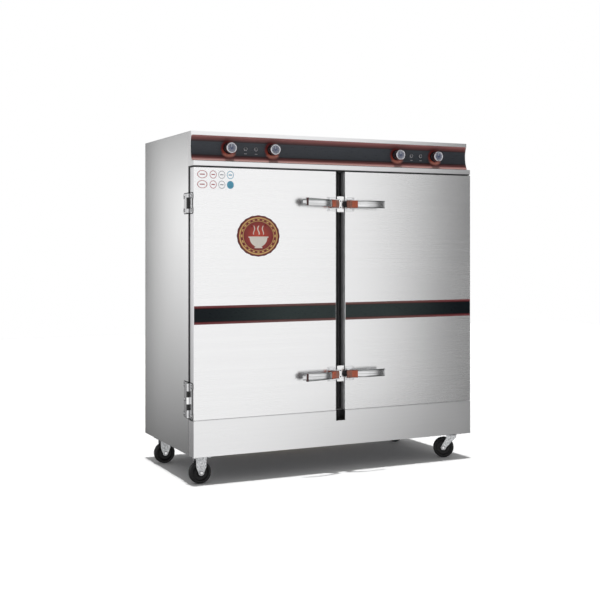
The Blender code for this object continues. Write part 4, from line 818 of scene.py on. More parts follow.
def fascia_print(place):
    """Bands by height, and rings round the knobs: their distance is folded from |x| about the knob pairs. The
    rims' light and dark, and a pool of light below each knob, are painted highlight.
    """
    x, y, z = place.axes()
    above = z - KNOB_Z
    radius = x.size().from_either(*KNOB_X).span(above)
    off = (z - BANDS_MIDDLE).size()
    centre_band = off.rise(BANDS_HALF + 0.001, BANDS_HALF - 0.001)
    streaks = place.stretched((1.5, 1.5, 260.0)).noise(1.0, 2.0, 0.5)
    # The red rims are painted darker next to the middle band and lighter outwards, as painted highlight.
    outward = off.ramp(BANDS_HALF, BANDS_HALF + 0.027, 0.0, 1.0) + (streaks - 0.5) * 0.25
    dusk = outward.rise(0.0, 0.55).blend((0.034, 0.013, 0.016, 1), (0.205, 0.062, 0.059, 1))
    # The lower rim, which faces up, is painted lighter than the upper one: painted highlight.
    lower = z.rise(BANDS_MIDDLE + 0.01, BANDS_MIDDLE - 0.01)
    bright = lower.blend((0.440, 0.190, 0.180, 1), (0.80, 0.48, 0.44, 1))
    red = outward.rise(0.45, 1.05).blend(dusk, bright)
    grain = place.stretched((30.0, 30.0, 400.0)).noise(1.0, 3.0, 0.6)
    blue = grain.blend((0.028, 0.034, 0.044, 1), (0.052, 0.057, 0.068, 1))
    line = z.rise(FASCIA_BOTTOM + 0.0045, FASCIA_BOTTOM + 0.0035)
    ground = line.blend(centre_band.blend(red, blue), (0.020, 0.012, 0.012, 1))
    ring = radius.rise(GLOW_RADIUS + 0.010, GLOW_RADIUS - 0.003)
    low_side = above.rise(0.010, -0.028)
    hot = low_side.blend((0.16, 0.014, 0.012, 1), (0.42, 0.075, 0.045, 1))
    disc = radius.rise(GLOW_RADIUS - 0.004, GLOW_RADIUS - 0.009)
    # A painted pool of light below each knob, over the shadow that the knob casts.
    spill = radius.rise(0.046, 0.031) * above.rise(-0.018, -0.033)
    lit = spill.blend(ring.blend(ground, hot), (0.80, 0.30, 0.23, 1))
    glow = disc.blend(lit, (0.012, 0.008, 0.010, 1))
    lamp_aside = x.size().from_either(*LAMP_X)
    dash = lamp_aside.rise(0.0068, 0.0058) * above.within(-0.0228, -0.0196, 0.0006)
    colour = dash.blend(glow, (0.34, 0.34, 0.36, 1))
    return {"Base Color": colour, "Roughness": (grain - 0.5) * 0.16 + 0.30}


fascia_film = finish("fascia_film", fascia_print, Metallic=0.0, Specular_IOR_Level=0.30)
rows = np.linspace(FASCIA_BOTTOM + FILM_MARGIN, FASCIA_TOP - FILM_MARGIN, FILM_ROWS)
from_rim = np.minimum(rows - rows[0], rows[-1] - rows)
cut = np.maximum(FASCIA_CORNER - from_rim, 0)
reach = body_half - FILM_SIDE - FASCIA_CORNER + np.sqrt(FASCIA_CORNER**2 - cut**2)
front = np.empty((FILM_ROWS, FILM_COLUMNS, 3))
front[..., 0] = reach[:, None] * np.linspace(-1, 1, FILM_COLUMNS)
front[..., 1] = (door_face_y + fascia_depth(rows) - FILM)[:, None]
front[..., 2] = rows[:, None]
around = np.concatenate([front, front[:, ::-1] + (0, FILM - FILM_GAP, 0)], axis=1)
piece("fascia_film", [shell(around)], fascia_film, "knob", "cabinet")

LIP_LOW = 1.3572
LIP_HIGH = 1.3778
LIP_PROUD = 0.0006
LIP_SEAT = 0.002
LIP_SHORT = 0.002
LIP_CORNER = 0.005
LIP_DEPTH = 0.0030
LIP_EDGE = 0.0012
white_steel = bare_metal("white_lip", (0.87, 0.87, 0.88), 0.32, LEVEL_GRAIN, cloud=0.2)
outline = rectangle(2 * body_half - LIP_SHORT, LIP_HIGH - LIP_LOW, LIP_CORNER)
centre = (0.0, door_face_y + LIP_SEAT - LIP_PROUD, (LIP_LOW + LIP_HIGH) / 2)
shape = plate(outline, centre, RIGHTWARD, UPWARD, LIP_DEPTH, LIP_EDGE)
piece("fascia_lip", [shape], white_steel, "keeper", "cabinet")

SEAL_DEEP = 0.0050
SEAL_NARROW = 0.003
SEAL_SHORT = 0.002
SEAL_CORNER = 0.002
SEAL_LAP = 0.0003
SEAL_EDGE = 0.0010
low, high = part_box("control_fascia")
outline = rectangle(high.x - low.x - SEAL_NARROW, high.y - low.y - SEAL_SHORT, SEAL_CORNER, 4)
centre = (0.0, (low.y + high.y) / 2, low.z - SEAL_LAP)
seal = plate(outline, centre, RIGHTWARD, REARWARD, SEAL_DEEP, SEAL_EDGE)
piece("fascia_seal", [seal], rubber, "gasket", "cabinet")

# Control knobs: black moulded grips with fine flutes, a chromed rim and a dished dark blue dial.
# Each turns on a spindle through the fascia. The dial carries plain marks all round and one pale pointer.

KNOB_LENGTH = 0.036
SPINDLE_START = 0.030
SPINDLE_RADIUS = 0.003
SPUN_GRAIN = (200.0, 200.0, 200.0)
KNOB_FLUTES = 32
DIAL_MARKS = 24
KNOB_BLACK = (0.015, 0.016, 0.020)
knob_plastic = finish("knob_plastic", moulded(KNOB_BLACK, 0.28), Metallic=0.0, Coat_Weight=0.3)
chrome = bare_metal("chromed_rim", (0.66, 0.65, 0.68), 0.12, SPUN_GRAIN, cloud=0.2)


def dial_print(place):
    """Polar marks: every third one longer, a pale pointer at the top, and a ring near the rim."""
    u, v, w = place.axes()
    radius = u.span(v)
    angle = u.maths("ARCTAN2", v) * (DIAL_MARKS / math.tau)
    near = angle.off_whole()
    third = (angle / 3).off_whole()
    short = near.rise(0.16, 0.10) * radius.within(0.0145, 0.0172, 0.0004)
    long = third.rise(0.06, 0.04) * radius.within(0.0122, 0.0172, 0.0004)
    ring = radius.within(0.0180, 0.0186, 0.0003)
    pointer = u.size().rise(0.0015, 0.0010) * v.within(0.0015, 0.0160, 0.0006)
    hub = radius.rise(0.0064, 0.0058)
    ink = (short + long + ring + pointer).held()
    sweep = place.noise(80.0, 2.0, 0.5)
    ground = sweep.blend((0.11, 0.12, 0.18, 1), (0.23, 0.24, 0.32, 1))
    ground = hub.blend(ground, (0.07, 0.09, 0.18, 1))
    return {
        "Base Color": ink.blend(ground, (0.55, 0.60, 0.66, 1)),
        "Roughness": (sweep - 0.5) * 0.15 + 0.22,
    }


dial_face = finish("dial_face", dial_print, "print", Metallic=0.0, Coat_Weight=0.4)
for name, side in SIDES.items():
    for place, x in zip(("outer", "inner"), KNOB_X):
        low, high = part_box(f"knob_{name}_{place}")
        front = (side * x, low.y, KNOB_Z)
        body = f"knob_{name}_{place}"
        grip = [(0.0155, 0.0024), (0.0190, 0.0028), (0.0212, 0.0040), (0.0216, 0.0070), (0.0214, 0.0270)]
        grip += [(0.0212, 0.0290), (0.0222, 0.0305), (0.0225, 0.0330)]
        grip += [(0.0218, KNOB_LENGTH), (0, KNOB_LENGTH)]
        flutes = [0, 0, 0.01, 0.045, 0.045, 0.02, 0, 0, 0, 0]
        black = turned(grip, front, REARWARD, 192, (flutes, KNOB_FLUTES))
        start, end = SPINDLE_START, high.y - low.y
        shaft = [(0, start), (SPINDLE_RADIUS, start), (SPINDLE_RADIUS, end), (0, end)]
        spindle = turned(shaft, front, REARWARD, 20)
        piece(f"knob_grip_{name}_{place}", [black, spindle], knob_plastic, "knob", body, body)
        rim = [(0.0186, 0.0026), (0.0190, 0.0004), (0.0200, 0.0), (0.0216, 0.0003), (0.0234, 0.0016)]
        rim += [(0.0240, 0.0034), (0.0236, 0.0054), (0.0222, 0.0062), (0.0195, 0.0060), (0.0186, 0.0026)]
        piece(f"knob_rim_{name}_{place}", [turned(rim, front, REARWARD, 96)], chrome, "hardware", body)
        dial = [(0, 0.0014), (0.007, 0.0014), (0.0140, 0.0018), (0.0190, 0.0012)]
        dial += [(0.0190, 0.0030), (0, 0.0030)]
        disc = turned(dial, front, REARWARD, 96)
        piece(f"knob_dial_{name}_{place}", [disc], dial_face, "knob", body, prints=(front, RIGHTWARD, UPWARD))

# Indicator lamps: two between each pair of knobs, a thin chromed bezel screwed over a dark domed lens.
# They are snapped into the fascia from the front.

LENS_RADIUS = 0.0060
LENS_DOME = 0.0040
LENS_SUNK = 0.0008
LENS_BACK = 0.0070
bezel_metal = bare_metal("lamp_bezel", (0.62, 0.61, 0.63), 0.42, SPUN_GRAIN, cloud=0.2)


def smoked(place):
    """A dark lens with a faint ribbing inside."""
    x, y, z = place.axes()
    ribs = (x * 1800.0).maths("SINE") * 0.5 + 0.5
    return {
        "Base Color": ribs.blend((0.020, 0.022, 0.028, 1), (0.050, 0.055, 0.066, 1)),
        "Roughness": ribs * 0.06 + 0.12,
    }


lens_plastic = finish("lamp_lens", smoked, Metallic=0.0, Coat_Weight=0.5)
for name, side in SIDES.items():
    for place, x in zip(("outer", "inner"), LAMP_X):
        low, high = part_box(f"lamp_{name}_{place}")
        front = (side * x, low.y, KNOB_Z)
        dome = []
        for angle in np.linspace(0, math.pi / 2, 9):
            dome.append((LENS_RADIUS * math.sin(angle), LENS_DOME * (1 - math.cos(angle)) + LENS_SUNK))
        lens = turned(dome + [(LENS_RADIUS, LENS_BACK), (0, LENS_BACK)], front, REARWARD, 48)
        piece(f"lamp_lens_{name}_{place}", [lens], lens_plastic, "lamp", "cabinet", f"lamp_{name}_{place}")
        bezel = [(0.0062, 0.0070), (0.0062, 0.0042), (0.0068, 0.0036), (0.0078, 0.0040), (0.0084, 0.0052)]
        bezel += [(0.0085, 0.0070), (0.0062, 0.0070)]
        ring = turned(bezel, front, REARWARD, 48)
        piece(f"lamp_bezel_{name}_{place}", [ring], bezel_metal, "hardware", "cabinet")

# Keepers: bright steel boxes on the mullion, one between each pair of levers, folded from 2 mm sheet and held
# by two dark screws. The levers' bosses stand over them from both sides.

FORWARD = (0.0, -1.0, 0.0)
KEEPER_SHEET = 0.002
KEEPER_CORNER = 0.004
KEEPER_EDGE = 0.0012
KEEPER_SCREW = 0.0030
KEEPER_SCREW_RISE = 0.014
keeper_steel = bare_metal("keeper_steel", (1.0, 1.0, 1.0), 0.24, LEVEL_GRAIN, cloud=0.1)
dark_steel = bare_metal("blackened_steel", (0.10, 0.10, 0.11), 0.35, EVEN_GRAIN)
for level in ("upper", "lower"):
    low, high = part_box(f"keeper_{level}")
    centre = (0.0, low.y, (low.z + high.z) / 2)
    outline = rectangle(high.x - low.x, high.z - low.z, KEEPER_CORNER)
    box = pan(outline, centre, RIGHTWARD, UPWARD, high.y - low.y, KEEPER_SHEET, KEEPER_EDGE)
    piece(f"keeper_box_{level}", [box], keeper_steel, "keeper", "cabinet", f"keeper_{level}")
    heads = []
    for way in (-1, 1):
        heads.append(screw((0.0, low.y, centre[2] + way * KEEPER_SCREW_RISE), FORWARD, KEEPER_SCREW))
    piece(f"keeper_screws_{level}", heads, dark_steel, "hardware", "cabinet")

# Latch levers: an arched bar cast in stainless and polished, which leaves a round boss, swings out from the
# door and curls back at its tip. Next to the boss it has an orange-red sleeve, and the left ones end in a
# dark red cap. Each turns on a pin between the two ears of a pressed bracket that is screwed to the door.

LEVER_LENGTH = 0.180
LEVER_RISE = 0.024
LEVER_FALL = 0.009
LEVER_PEAK = 0.5
LEVER_THICK = (0.010, 0.006)
LEVER_TALL = (0.031, 0.034)
LEVER_LEAN = {"upper_left": 0.009, "lower_left": -0.005, "upper_right": 0.0, "lower_right": 0.0}
PIN_INSET = 0.013
BOSS_HALF = 0.017
BOSS_RADIUS = 0.0078
BOSS_BORE = 0.0046
ROOT_SPAN = (0.030, 0.087)
SLEEVE_SPAN = (0.083, 0.218)
SLEEVE_WALL = 0.0014
CAP_SPAN = (0.865, 0.918)
TIP_TALL = 0.62
TIP_SHARE = 0.02
PIN_OUT = 0.024
EAR_RADIUS = 0.0090
BUFFER_SPAN = (0.0095, 0.0340)
BUFFER_HEIGHT = 0.028


def lever_bar(side, pin, lean, span, wall, tip=0.0):
    """The bar between two shares s of its length. In plan it climbs as a quarter sine to its peak and falls
    back as a cube: y = -R sin(pi s / 2p) + F ((s - p) / (1 - p))^3. Its section, a soft rectangle that thins
    towards the tip, is carried square to that line and shrinks to an end over the tip's share. The lean is
    how much higher the tip stands than the pin's middle. A capped lever is less tall beyond its cap."""
    ease = np.linspace(0, math.pi / 2, 10)
    straight = np.linspace(span[0], span[1] - tip, 56)
    shares = np.concatenate([straight, span[1] - tip + tip * np.sin(ease[1:])]) if tip else straight
    shrink = np.concatenate([np.ones(56), np.sqrt(np.cos(ease[1:] * 0.96))]) if tip else np.ones(56)
    climb = np.sin(math.pi / 2 * np.minimum(shares / LEVER_PEAK, 1))
    past = np.maximum(shares - LEVER_PEAK, 0) / (1 - LEVER_PEAK)
    line = np.zeros((len(shares), 3))
    line[:, 0] = pin[0] + side * LEVER_LENGTH * shares
    line[:, 1] = pin[1] - LEVER_RISE * climb + LEVER_FALL * past**3
    line[:, 2] = pin[2] + lean * shares
    run = np.gradient(line[:, :2], shares, axis=0)
    run /= np.linalg.norm(run, axis=1)[:, None]
    normal = np.stack([-run[:, 1], run[:, 0], np.zeros(len(shares))], axis=1)
    thick = LEVER_THICK[0] + (LEVER_THICK[1] - LEVER_THICK[0]) * shares + 2 * wall
    tall = LEVER_TALL[0] + (LEVER_TALL[1] - LEVER_TALL[0]) * shares + 2 * wall
    if side < 0:
        tall = np.where(shares > CAP_SPAN[1] - 0.001, tall * TIP_TALL, tall)
    section = softened([(0.5, -0.5), (0.5, 0.5), (-0.5, 0.5), (-0.5, -0.5)], 0.30, 9)
    deep = (thick * shrink)[:, None, None] * section[None, :, :1] * normal[:, None]
    high = np.zeros((len(shares), len(section), 3))
    high[..., 2] = (tall * (0.5 + 0.5 * shrink))[:, None] * section[None, :, 1]
    return shell(line[:, None] + deep + high)


LEVER_LEVELS = (1.203, 0.441)


def polished(place):
    """Cast bar: streaks along its length, partly satin polish and partly painted reflection, and small dull
    scratches where rings and gloves rub it.
    Towards its top and bottom edges it is painted darker, as painted shade. z is folded about both levels."""
    x, y, z = place.axes()
    off = z.from_either(*LEVER_LEVELS)
    lines = place.stretched((9.0, 9.0, 520.0)).noise(1.0, 3.0, 0.7)
    rub = place.noise(120.0, 4.0, 0.7)
    # skin darkens the bar towards its top and bottom edges: painted shade.
    skin = off.rise(0.0085, 0.0165)
    shade = (lines - 0.5) * 1.7 + (rub - 0.5) * 0.3 + 0.62 - skin * 0.75
    return {
        "Base Color": shade.held().blend((0.26, 0.27, 0.27, 1), (0.95, 0.95, 0.96, 1)),
        "Roughness": (rub - 0.5) * 0.22 + 0.20,
        "Normal": lines.bump(0.00002),
    }


lever_steel = finish("lever_steel", polished, Metallic=1.0)


def sleeve_enamel(place):
    """Orange-red moulding with soft upright streaks, painted browner towards its top and bottom edges as
    painted shade.
    """
    x, y, z = place.axes()
    off = z.from_either(*LEVER_LEVELS)
    streaks = place.stretched((260.0, 260.0, 25.0)).noise(1.0, 3.0, 0.6)
    # edge darkens the sleeve towards its top and bottom: painted shade.
    edge = off.rise(0.0095, 0.0170)
    shade = streaks * 1.3 - 0.2 + edge * 0.55
    return {
        "Base Color": shade.held().blend((0.66, 0.135, 0.048, 1), (0.23, 0.045, 0.026, 1)),
        "Roughness": streaks * 0.2 + 0.26,
        "Normal": streaks.bump(0.0001),
    }


sleeve_red = finish("lever_sleeve", sleeve_enamel, Metallic=0.0)
boss_brown = finish("lever_boss", moulded((0.300, 0.115, 0.078), 0.24, spread=0.30), Metallic=0.0)
cap_red = finish("lever_cap", moulded((0.048, 0.007, 0.008), 0.34, spread=0.25), Metallic=0.0)
BAR_START = 0.03
CAP_WALL = 0.0007
CAP_SHORT = 0.002
BASE_FACE = 0.0033
BASE_SHEET = 0.0030
BASE_CORNER = 0.006
BASE_EDGE = 0.0009
BASE_NEAR = 0.027
BASE_SCREW = 0.0042
BASE_SCREW_IN = 0.008
BASE_SCREW_RISE = 0.024
EAR_SHEET = 0.004
EAR_EDGE = 0.0007
EAR_CLEAR = 0.0003
FOOT_SHORT = 0.0005
FOOT_DEPTH = PIN_OUT - 0.0028
LATCH_PIN_RADIUS = 0.0042
LATCH_PIN_EDGE = 0.0006
BUFFER_FACE = 0.0066
BUFFER_DEPTH = 0.0034
BUFFER_CORNER = 0.0125
BUFFER_EDGE = 0.0012
for level in ("upper", "lower"):
    for name, side in SIDES.items():
        low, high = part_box(f"latch_lever_{level}_{name}")
        pin_x = (high.x if side < 0 else low.x) + side * PIN_INSET
        pin = (pin_x, door_face_y - PIN_OUT, (low.z + high.z) / 2)
        body = f"lever_{level}_{name}"
        lean = LEVER_LEAN[f"{level}_{name}"]
        bar = lever_bar(side, pin, lean, (BAR_START, 1.0), 0.0, TIP_SHARE)
        node = f"latch_lever_{level}_{name}"
        piece(f"latch_bar_{level}_{name}", [bar], lever_steel, "hardware", body, node)
        sleeve = lever_bar(side, pin, lean, SLEEVE_SPAN, SLEEVE_WALL)
        piece(f"latch_sleeve_{level}_{name}", [sleeve], sleeve_red, "lever_grip", body)
        profile = []
        for turn in np.linspace(-math.pi / 2, math.pi / 2, 17):
            bulge = (BOSS_RADIUS - BOSS_BORE) * math.cos(turn)
            profile.append((BOSS_BORE + bulge, BOSS_HALF * math.sin(turn)))
        profile.append((BOSS_BORE, -BOSS_HALF))
        root = lever_bar(side, pin, lean, ROOT_SPAN, SLEEVE_WALL)
        boss = [turned(profile, pin, UPWARD, 48), root]
        piece(f"latch_boss_{level}_{name}", boss, boss_brown, "lever_grip", body)
        if side < 0:
            cap = lever_bar(side, pin, lean, (CAP_SPAN[0], CAP_SPAN[1] - CAP_SHORT), CAP_WALL)
            piece(f"latch_cap_{level}_{name}", [cap], cap_red, "lever_grip", body)
        low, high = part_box(f"latch_base_{level}_{name}")
        near, far = side * BASE_NEAR, max(low.x, high.x, key=abs)
        centre = ((near + far) / 2, door_face_y - BASE_FACE, pin[2])
        outline = rectangle(abs(far - near), high.z - low.z, BASE_CORNER)
        shells = [plate(outline, centre, RIGHTWARD, UPWARD, BASE_SHEET, BASE_EDGE)]
        sweep = np.radians(np.linspace(180, 330, 24))
        ear = np.stack([EAR_RADIUS * np.cos(sweep), EAR_RADIUS * np.sin(sweep)], axis=1) * (side, 1)
        foot = [(far - pin_x - side * FOOT_SHORT, FOOT_DEPTH), (near - pin_x + side * FOOT_SHORT, FOOT_DEPTH)]
        ear = np.concatenate([ear, foot])[::side]
        for way in (-1, 1):
            top = pin[2] + way * (BOSS_HALF + EAR_CLEAR) + (EAR_SHEET if way > 0 else 0)
            place = (pin[0], pin[1], top)
            shells.append(plate(freehand(ear), place, RIGHTWARD, REARWARD, EAR_SHEET, EAR_EDGE))
        reach = BOSS_HALF + EAR_CLEAR + EAR_SHEET
        small = LATCH_PIN_RADIUS - LATCH_PIN_EDGE
        end = [(LATCH_PIN_RADIUS, reach), (small, reach + LATCH_PIN_EDGE), (0, reach + LATCH_PIN_EDGE)]
        shaft = [(radius, -height) for radius, height in reversed(end)] + end
        shells.append(turned(shaft, pin, UPWARD, 32))
        for way in (-1, 1):
            place = (far - side * BASE_SCREW_IN, door_face_y - BASE_FACE, pin[2] + way * BASE_SCREW_RISE)
            shells.append(screw(place, FORWARD, BASE_SCREW))
        piece(
            f"latch_bracket_{level}_{name}", shells, hardware, "hardware", f"door_{name}",
            f"latch_base_{level}_{name}",
        )
        outline = rectangle(BUFFER_SPAN[1] - BUFFER_SPAN[0], BUFFER_HEIGHT, BUFFER_CORNER, 12)
        centre = (side * (BUFFER_SPAN[0] + BUFFER_SPAN[1]) / 2, door_face_y - BUFFER_FACE, pin[2])
        buffer = plate(outline, centre, RIGHTWARD, UPWARD, BUFFER_DEPTH, BUFFER_EDGE)
        piece(f"latch_buffer_{level}_{name}", [buffer], rubber, "gasket", f"door_{name}")

# Chambers: two stainless liners with a sump at the bottom, tray racks of flat bars on uprights, perforated
# covers over the water, and a bent tubular heater in each sump. Steam leaves a dull bloom on all of it.

LINER = (0.66, 0.67, 0.68)


def steamed(place):
    """Satin sheet with a pale scale that gathers towards the water and in soft blots."""
    x, y, z = place.axes()
    lines = place.stretched(UPRIGHT_GRAIN).noise(1.0, 3.0, 0.6)
    blots = place.noise(14.0, 4.0, 0.6)
    low_down = z.rise(0.60, 0.20)
    scale = blots.rise(0.50, 0.75) * (low_down * 0.7 + 0.2)
    shade = (lines - 0.5) * 0.4 + (blots - 0.5) * 0.3 + 0.5
    steel = shade.blend(tone(LINER, 0.88), tone(LINER, 1.10))
    return {
        "Base Color": scale.blend(steel, (0.74, 0.73, 0.70, 1)),
        "Roughness": scale * 0.25 + (lines - 0.5) * 0.12 + 0.38,
        "Normal": lines.bump(0.00002),
    }


liner_sheet = finish("liner_sheet", steamed, Metallic=1.0)
rack_bar = bare_metal("rack_bar", (0.70, 0.71, 0.72), 0.32, (30.0, 30.0, 400.0))
HEATER_RADIUS = 0.0055
HEATER_PITCH = 0.090
HEATER_RUNS = 4
HEATER_Z = 0.225
BEND_STEPS = 24
WALL_INSET = 0.020
REAR_CLEAR = 0.0697
TUBE_LAP = 0.002
FLANGE_TALL = 0.036
FLANGE_CORNER = 0.010
FLANGE_SHEET = 0.004
FLANGE_EDGE = 0.0008


def heated(place):
    """Dark oxide of a heating tube, browner in patches, with a crust of scale."""
    burn = place.noise(30.0, 3.0, 0.6)
    crust = place.noise(160.0, 4.0, 0.7)
    colour = burn.blend((0.12, 0.11, 0.10, 1), (0.34, 0.30, 0.26, 1))
    return {
        "Base Color": crust.rise(0.58, 0.72).blend(colour, (0.62, 0.60, 0.56, 1)),
        "Roughness": crust * 0.35 + 0.35,
        "Normal": crust.bump(0.0003),
    }


heater_oxide = finish("heater_oxide", heated, Metallic=0.8)


def tube(path, radius, steps=20):
    """A round tube along a level path: P = C + r (cos a n + sin a z), where n is square to the path."""
    run = np.gradient(path, axis=0)
    run /= np.linalg.norm(run, axis=1)[:, None]
    aside = np.cross(run, np.array(UPWARD))
    angles = np.linspace(0, math.tau, steps, endpoint=False)
    ring = np.cos(angles)[None, :, None] * aside[:, None] + np.sin(angles)[None, :, None] * np.array(UPWARD)
    return shell(path[:, None] + radius * ring)


for name in SIDES:
    dress(liner_sheet, f"chamber_liner_{name}", f"sump_cover_{name}")
    dress(rack_bar, f"tray_rack_{name}")
    low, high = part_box(f"heater_{name}")
    middle = (low.x + high.x) / 2
    turn = HEATER_PITCH / 2
    wall = high.y - WALL_INSET
    front = low.y + HEATER_RADIUS + turn
    rear = wall - REAR_CLEAR - turn
    stretches = [np.array([(middle - 1.5 * HEATER_PITCH, wall - TUBE_LAP, HEATER_Z)])]
    for run in range(HEATER_RUNS - 1):
        x = middle + HEATER_PITCH * (run - 1.5)
        way, end = (-1, front) if run % 2 == 0 else (1, rear)
        bend = np.linspace(0, math.pi, BEND_STEPS)
        arc = np.full((BEND_STEPS, 3), HEATER_Z)
        arc[:, 0] = x + turn * (1 - np.cos(bend))
        arc[:, 1] = end + way * turn * np.sin(bend)
        stretches.append(arc)
    stretches.append(np.array([(middle + 1.5 * HEATER_PITCH, wall - TUBE_LAP, HEATER_Z)]))
    outline = rectangle(high.x - low.x, FLANGE_TALL, FLANGE_CORNER)
    place = (middle, wall - FLANGE_SHEET, HEATER_Z)
    flange = plate(outline, place, RIGHTWARD, UPWARD, FLANGE_SHEET, FLANGE_EDGE)
    profile = [(0, 0), (0.014, 0), (0.014, 0.019), (0.013, 0.020), (0, 0.020)]
    stub = turned(profile, (middle, wall, HEATER_Z), REARWARD, 40)
    shells = [tube(np.concatenate(stretches), HEATER_RADIUS), flange, stub]
    piece(f"heater_element_{name}", shells, heater_oxide, "heater", "cabinet", f"heater_{name}")

# Water parts: a feed tank between the chambers, and a brass drain under the base with a ball valve and a red
# lever. The two steam vents leave through the back.

BRASS = (0.60, 0.45, 0.20)


def coated(colour, roughness):
    """Powder coat: a fine orange-peel skin, a little chalky where it is worn."""

    def pattern(place):
        peel = place.noise(900.0, 2.0, 0.5)
        chalk = place.noise(60.0, 3.0, 0.6)
        return {
            "Base Color": chalk.blend(tone(colour, 0.93), tone(colour, 1.06)),
            "Roughness": (chalk - 0.5) * 0.2 + roughness,
            "Normal": peel.bump(0.00004),
        }

    return pattern


def cast_brass(place):
    """Brass with a dull brown tarnish in its hollows."""
    tarnish = place.noise(60.0, 4.0, 0.6)
    skin = place.noise(500.0, 2.0, 0.6)
    return {
        "Base Color": tarnish.rise(0.40, 0.70).blend(tone(BRASS, 1.1), (0.28, 0.18, 0.09, 1)),
        "Roughness": tarnish * 0.3 + 0.20,
        "Normal": skin.bump(0.00005),
    }


brass = finish("cast_brass", cast_brass, Metallic=1.0)
lever_red = finish("drain_lever_coat", coated((0.55, 0.035, 0.020), 0.36), Metallic=0.0)
dress(liner_sheet, "feed_tank")
dress(brass, "drain_pipe")
dress(lever_red, "drain_lever")
VENT_Z = 1.25
VENT_BACK = 0.0452
for name in SIDES:
    low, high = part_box(f"chamber_liner_{name}")
    middle = (low.x + high.x) / 2
    profile = [(0.0182, 0.0), (0.0202, 0.0), (0.0202, 0.0440), (0.0208, 0.0446), (0.0208, 0.0450)]
    profile += [(0.0182, 0.0450), (0.0182, 0.0)]
    sleeve = turned(profile, (middle, high.y - VENT_BACK, VENT_Z), REARWARD, 64)
    piece(f"vent_sleeve_{name}", [sleeve], liner_sheet, "liner", "cabinet")

# Casters: galvanised pressed forks with a top plate bolted to the base, and glossy black wheels whose discs
# are recessed round a hub. The left pair is fixed, the right pair turns on a race and a kingpin.

WHEEL_RADIUS = 0.049
WHEEL_HALF = 0.015
FORK_INSIDE = 0.017
FORK_SHEET = 0.003
FORK_END = 0.0125
FORK_EDGE = 0.0006
FORK_SHOULDER = 0.010
FIXED_HALF = 0.0255
SWIVEL_HALF = 0.024
WAIST_DRAWN = 0.003
WAIST_Z = 0.072
PLATE_CORNER = 0.008
BOLT_ACROSS = 0.033
BOLT_ALONG = 0.027
PLATE_LAP = 0.0005
CROWN_LAP = 0.0035
PLATE_SIZE = (0.084, 0.070, 0.003)


def galvanised(place):
    """Zinc spangle: cells of slightly different tone, with a soft white bloom."""
    cells = place.node("ShaderNodeTexVoronoi", None, {"Vector": place, "Scale": 170.0})
    bloom = place.noise(110.0, 3.0, 0.6)
    shade = (cells - 0.4) * 0.9 + (bloom - 0.5) * 2.2 + 0.5
    return {
        "Base Color": shade.held().blend((0.30, 0.31, 0.32, 1), (0.84, 0.85, 0.86, 1)),
        "Roughness": bloom * 0.3 + 0.26,
        "Normal": cells.bump(0.00003),
    }


def tyre(place):
    """Black moulded wheel: glossy, with dust in the recess and fine scratches on the tread."""
    dust = place.noise(70.0, 4.0, 0.7)
    fine = place.noise(600.0, 2.0, 0.6)
    return {
        "Base Color": dust.rise(0.45, 0.85).blend((0.006, 0.006, 0.007, 1), (0.030, 0.029, 0.028, 1)),
        "Roughness": dust * 0.35 + 0.22,
        "Normal": fine.bump(0.00004),
    }


zinc = finish("galvanised_steel", galvanised, Metallic=1.0)
washer_steel = bare_metal("washer_steel", (0.30, 0.30, 0.31), 0.30, EVEN_GRAIN)
wheel_black = finish("wheel_black", tyre, Metallic=0.0, Specular_IOR_Level=0.25)


def fork(centre, ahead, trail, top_half, top_z):
    """Two cheeks that narrow from the top to a round end about the axle, and the axle's bolt and nut."""
    aside = np.cross(UPWARD, ahead)
    sweep = np.linspace(math.pi, math.tau, 28)
    end = np.stack([trail + FORK_END * np.cos(sweep), WHEEL_RADIUS + FORK_END * np.sin(sweep)], axis=1)
    foot_z = top_z - FORK_SHOULDER
    top = softened([(top_half, foot_z), (top_half, top_z), (-top_half, top_z), (-top_half, foot_z)], 0.002, 4)
    if trail == 0:
        waist = top_half - WAIST_DRAWN
        top = np.concatenate([[(waist, WAIST_Z)], top, [(-waist, WAIST_Z)]])
    outline = np.concatenate([end, top])
    shells = []
    for start in (FORK_INSIDE, -FORK_INSIDE - FORK_SHEET):
        face = np.array((centre[0], centre[1], 0.0)) + aside * start
        shells.append(plate(freehand(outline), face, ahead, UPWARD, FORK_SHEET, FORK_EDGE))
    axle = np.array((centre[0], centre[1], WHEEL_RADIUS)) + np.array(ahead) * trail
    outer = FORK_INSIDE + FORK_SHEET
    shaft = [(0, -outer), (0.006, -outer), (0.006, outer), (0, outer)]
    shells.append(turned(shaft, axle, aside, 32))
    washers, nuts = [], []
    for way in (-1, 1):
        start, seat_at, end = outer - 0.0002, outer + 0.0008, outer + 0.0040
        washer = [(0, start), (0.0096, start), (0.0096, seat_at), (0, seat_at)]
        nut = [(0, seat_at), (0.0072, seat_at), (0.0072, outer + 0.0032), (0.0062, end)]
        washers.append(turned(washer, axle, aside * way, 32))
        nuts.append(turned(nut + [(0, end)], axle, aside * way, 6))
    return shells, washers, nuts


def top_plate(low, high):
    """The bolted plate of a caster, with four bolt heads under it."""
    centre = np.array(((low.x + high.x) / 2, (low.y + high.y) / 2, high.z))
    outline = rectangle(PLATE_SIZE[0], PLATE_SIZE[1], PLATE_CORNER)
    shells = [plate(outline, centre, RIGHTWARD, REARWARD, PLATE_SIZE[2], FORK_EDGE)]
    for across in (-1, 1):
        for along in (-1, 1):
            place = centre + np.array((across * BOLT_ACROSS, along * BOLT_ALONG, -PLATE_SIZE[2]))
            head = [(0, -0.0005), (0.0058, -0.0005), (0.0058, 0.0030), (0.0050, 0.0038), (0, 0.0038)]
            shells.append(turned(head, place, (0, 0, -1), 6))
    return shells


